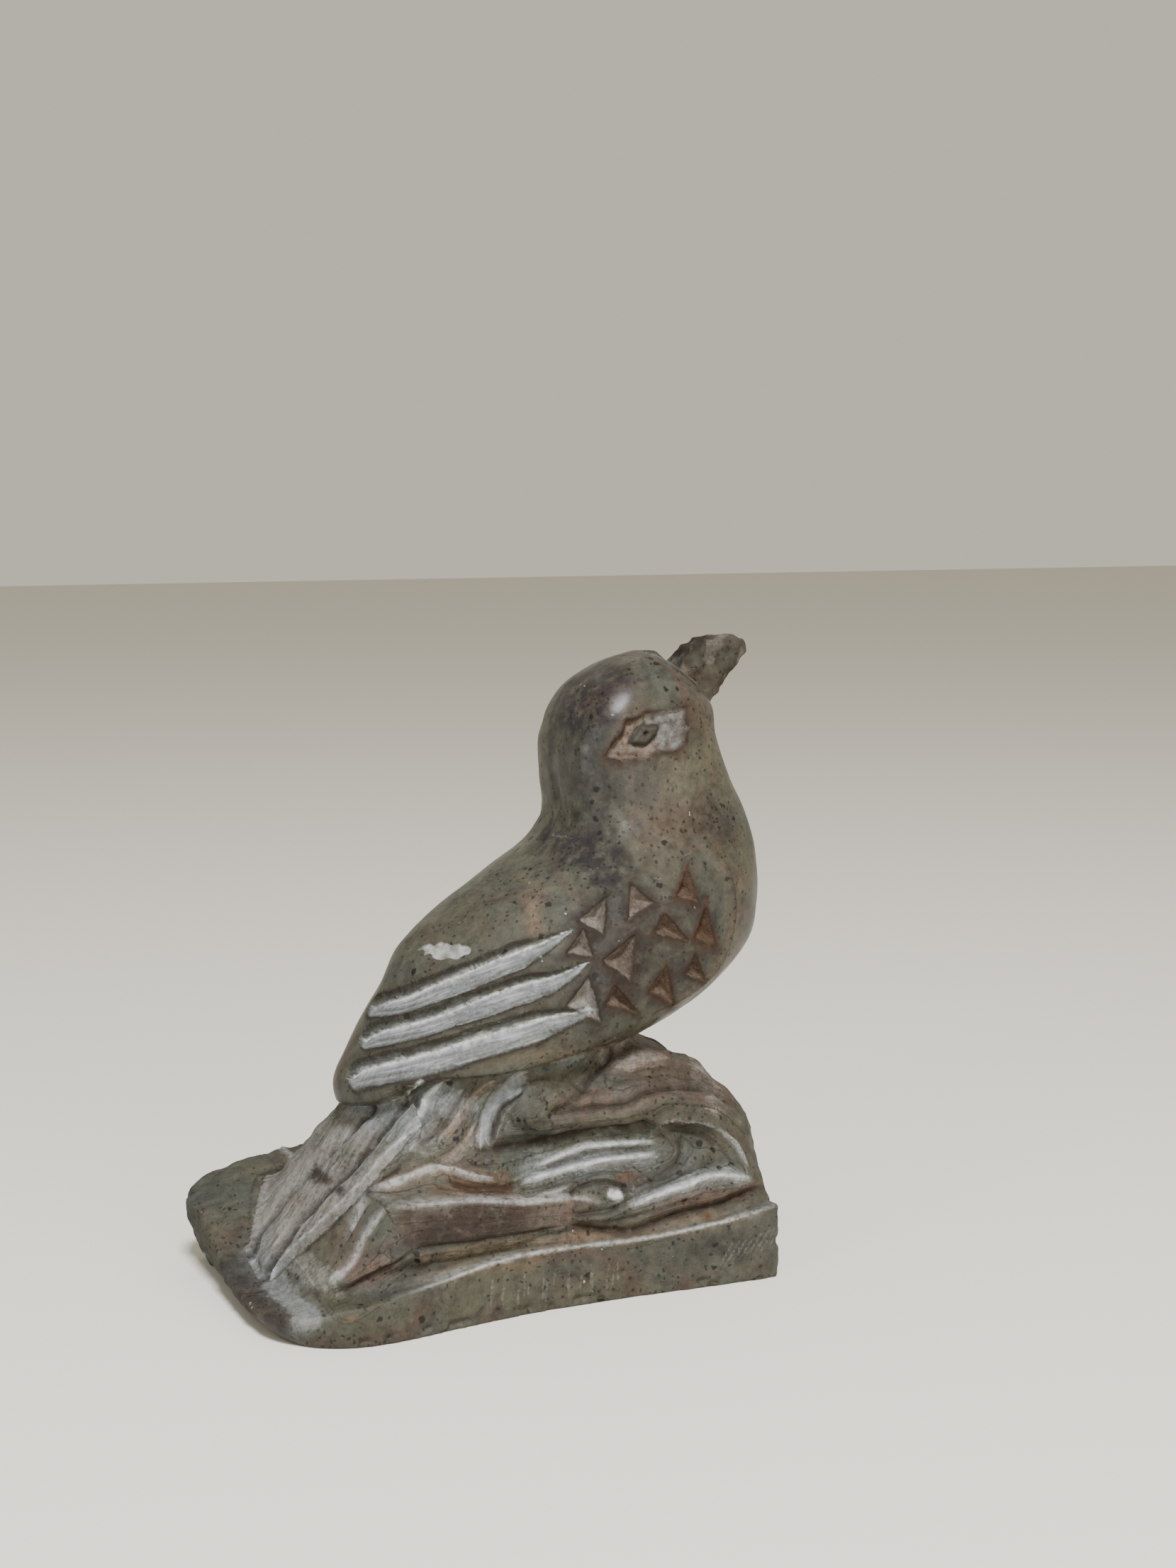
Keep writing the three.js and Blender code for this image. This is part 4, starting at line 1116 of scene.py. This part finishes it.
    grain = noise(finish["grainSize"], 5, 0.75)
    chalk = maths("ADD", marked("pale"), ranged(grain, 0.3, 0.7, -0.22, 0.22))
    chalk = ranged(maths("ADD", chalk, maths("MULTIPLY", streak, 0.3)), 0.2, 0.68)
    paleTone = mixed(marked("blue"), tone("pale"), tone("paleBlue"))
    paleTone = mixed(marked("tan"), paleTone, tone("paleTan"))
    paleTone = mixed(ranged(noise(0.9, 4, 0.7), 0.42, 0.7, 0, 0.5), paleTone, tone("brown"))
    paleTone = mixed(ranged(streak, 0.2, 1.0, 0, 0.35), paleTone, tone("edge"))
    colour = mixed(chalk, colour, paleTone)
    colour = tinted(colour, "rust", 1.0, size=0.9, low=0.25, high=0.55)
    # The dirt mark darkens the colour, also as painted shade in creases; the edge mark lightens it, partly as
    # a painted highlight.
    colour = tinted(colour, "dirt_and_shade", 1.0, size=1.1, low=0.22, high=0.5)
    colour = tinted(colour, "edge", 0.9, size=0.8, low=0.3, high=0.55)
    tree.links.new(colour, shader.inputs["Base Color"])

    worn = maths("MAXIMUM", marked("rough"), maths("MULTIPLY", marked("dirt_and_shade"), 0.8))
    satin = ranged(noise(4.0, 3, 0.6), 0.3, 0.7, finish["sheen"] - 0.05, finish["sheen"] + 0.16)
    between = {0: worn, 2: satin, 3: finish["chalk"]}
    gloss = addNode(tree, "ShaderNodeMix", {"data_type": "FLOAT"}, between).outputs[0]
    tree.links.new(gloss, shader.inputs["Roughness"])
    shader.inputs["IOR"].default_value = finish["ior"]
    shader.inputs["Specular IOR Level"].default_value = finish["specular"]

    depth = addNode(tree, "ShaderNodeMix", {"data_type": "FLOAT"}, {0: worn, 2: 0.06, 3: 1.0}).outputs[0]
    height = maths("ADD", maths("MULTIPLY", grain, depth), maths("MULTIPLY", streak, 0.35))
    pushed = {"Strength": finish["bump"], "Distance": finish["bumpHeight"] * mm, "Height": height}
    bump = addNode(tree, "ShaderNodeBump", {}, pushed)
    tree.links.new(bump.outputs["Normal"], shader.inputs["Normal"])
    return material


thinMesh.materials.clear()
thinMesh.materials.append(makeSoapstone(polishedSoapstone))
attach(stone, "root")
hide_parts("soapstone_bird")
print("soapstone finished")


# Floor, light and camera.

studio = {"floorColour": "#d3cfc4", "floorSize": 4.0, "skyColour": "#efe9d6", "skyStrength": 0.72}
studio["floorRoughness"] = 0.8
# Each area light's name, place and target in metres, size, power and colour.
studio["lights"] = [
    ("window", (-0.12, -0.42, 0.6), (0, 0, 0.04), 0.16, 12.0, "#f6f7ff"),
    ("doorway", (-0.62, -0.3, 0.12), (0, 0, 0.05), 0.06, 1.6, "#f1f5ff"),
    ("room", (0.16, -0.7, 0.12), (0, 0, 0.03), 0.5, 4.2, "#fff2e2"),
]


def makeFloor():
    bm = bmesh.new()
    bmesh.ops.create_grid(bm, x_segments=2, y_segments=2, size=studio["floorSize"] / 2)
    mesh = bpy.data.meshes.new("floor")
    bm.to_mesh(mesh)
    bm.free()
    floor = addObject("floor", mesh)
    material = bpy.data.materials.new("matt_paper")
    material.use_nodes = True
    shader = material.node_tree.nodes["Principled BSDF"]
    shader.inputs["Base Color"].default_value = linear(studio["floorColour"])
    shader.inputs["Roughness"].default_value = studio["floorRoughness"]
    mesh.materials.append(material)


def makeLight(name, place, target, size, power, colour):
    light = bpy.data.lights.new(name, "AREA")
    light.size = size
    light.energy = power
    light.color = linear(colour)[:3]
    lamp = addObject(name, light)
    lamp.location = place
    lamp.rotation_euler = (Vector(target) - Vector(place)).to_track_quat("-Z", "Y").to_euler()


makeFloor()
for light in studio["lights"]:
    makeLight(*light)
world = bpy.data.worlds.new("studio")
bpy.context.scene.world = world
world.use_nodes = True
world.node_tree.nodes["Background"].inputs["Color"].default_value = linear(studio["skyColour"])
world.node_tree.nodes["Background"].inputs["Strength"].default_value = studio["skyStrength"]

# About 29 cm from the bird's middle, a little above its head, looking down 7 degrees.
cameraView = {
    "place": (-107.0, -259.7, 95.5),
    "aim": (0.4137, 0.9016, -0.1262),
    "lens": 54.06,
    "sensor": 36,
}


def makeCamera(view):
    data = bpy.data.cameras.new("camera")
    data.sensor_fit = "VERTICAL"
    data.sensor_height = view["sensor"]
    data.sensor_width = view["sensor"]
    data.lens = view["lens"]
    data.clip_start = 0.01
    camera = addObject("camera", data)
    aim = Vector(view["aim"]).normalized()
    right = aim.cross(Vector((0, 0, 1))).normalized()
    turn = Matrix((right, right.cross(aim), -aim)).transposed().to_4x4()
    camera.matrix_world = Matrix.Translation((np.array(view["place"]) + carvingShift) * mm) @ turn
    bpy.context.scene.camera = camera


makeCamera(cameraView)
print("studio set")
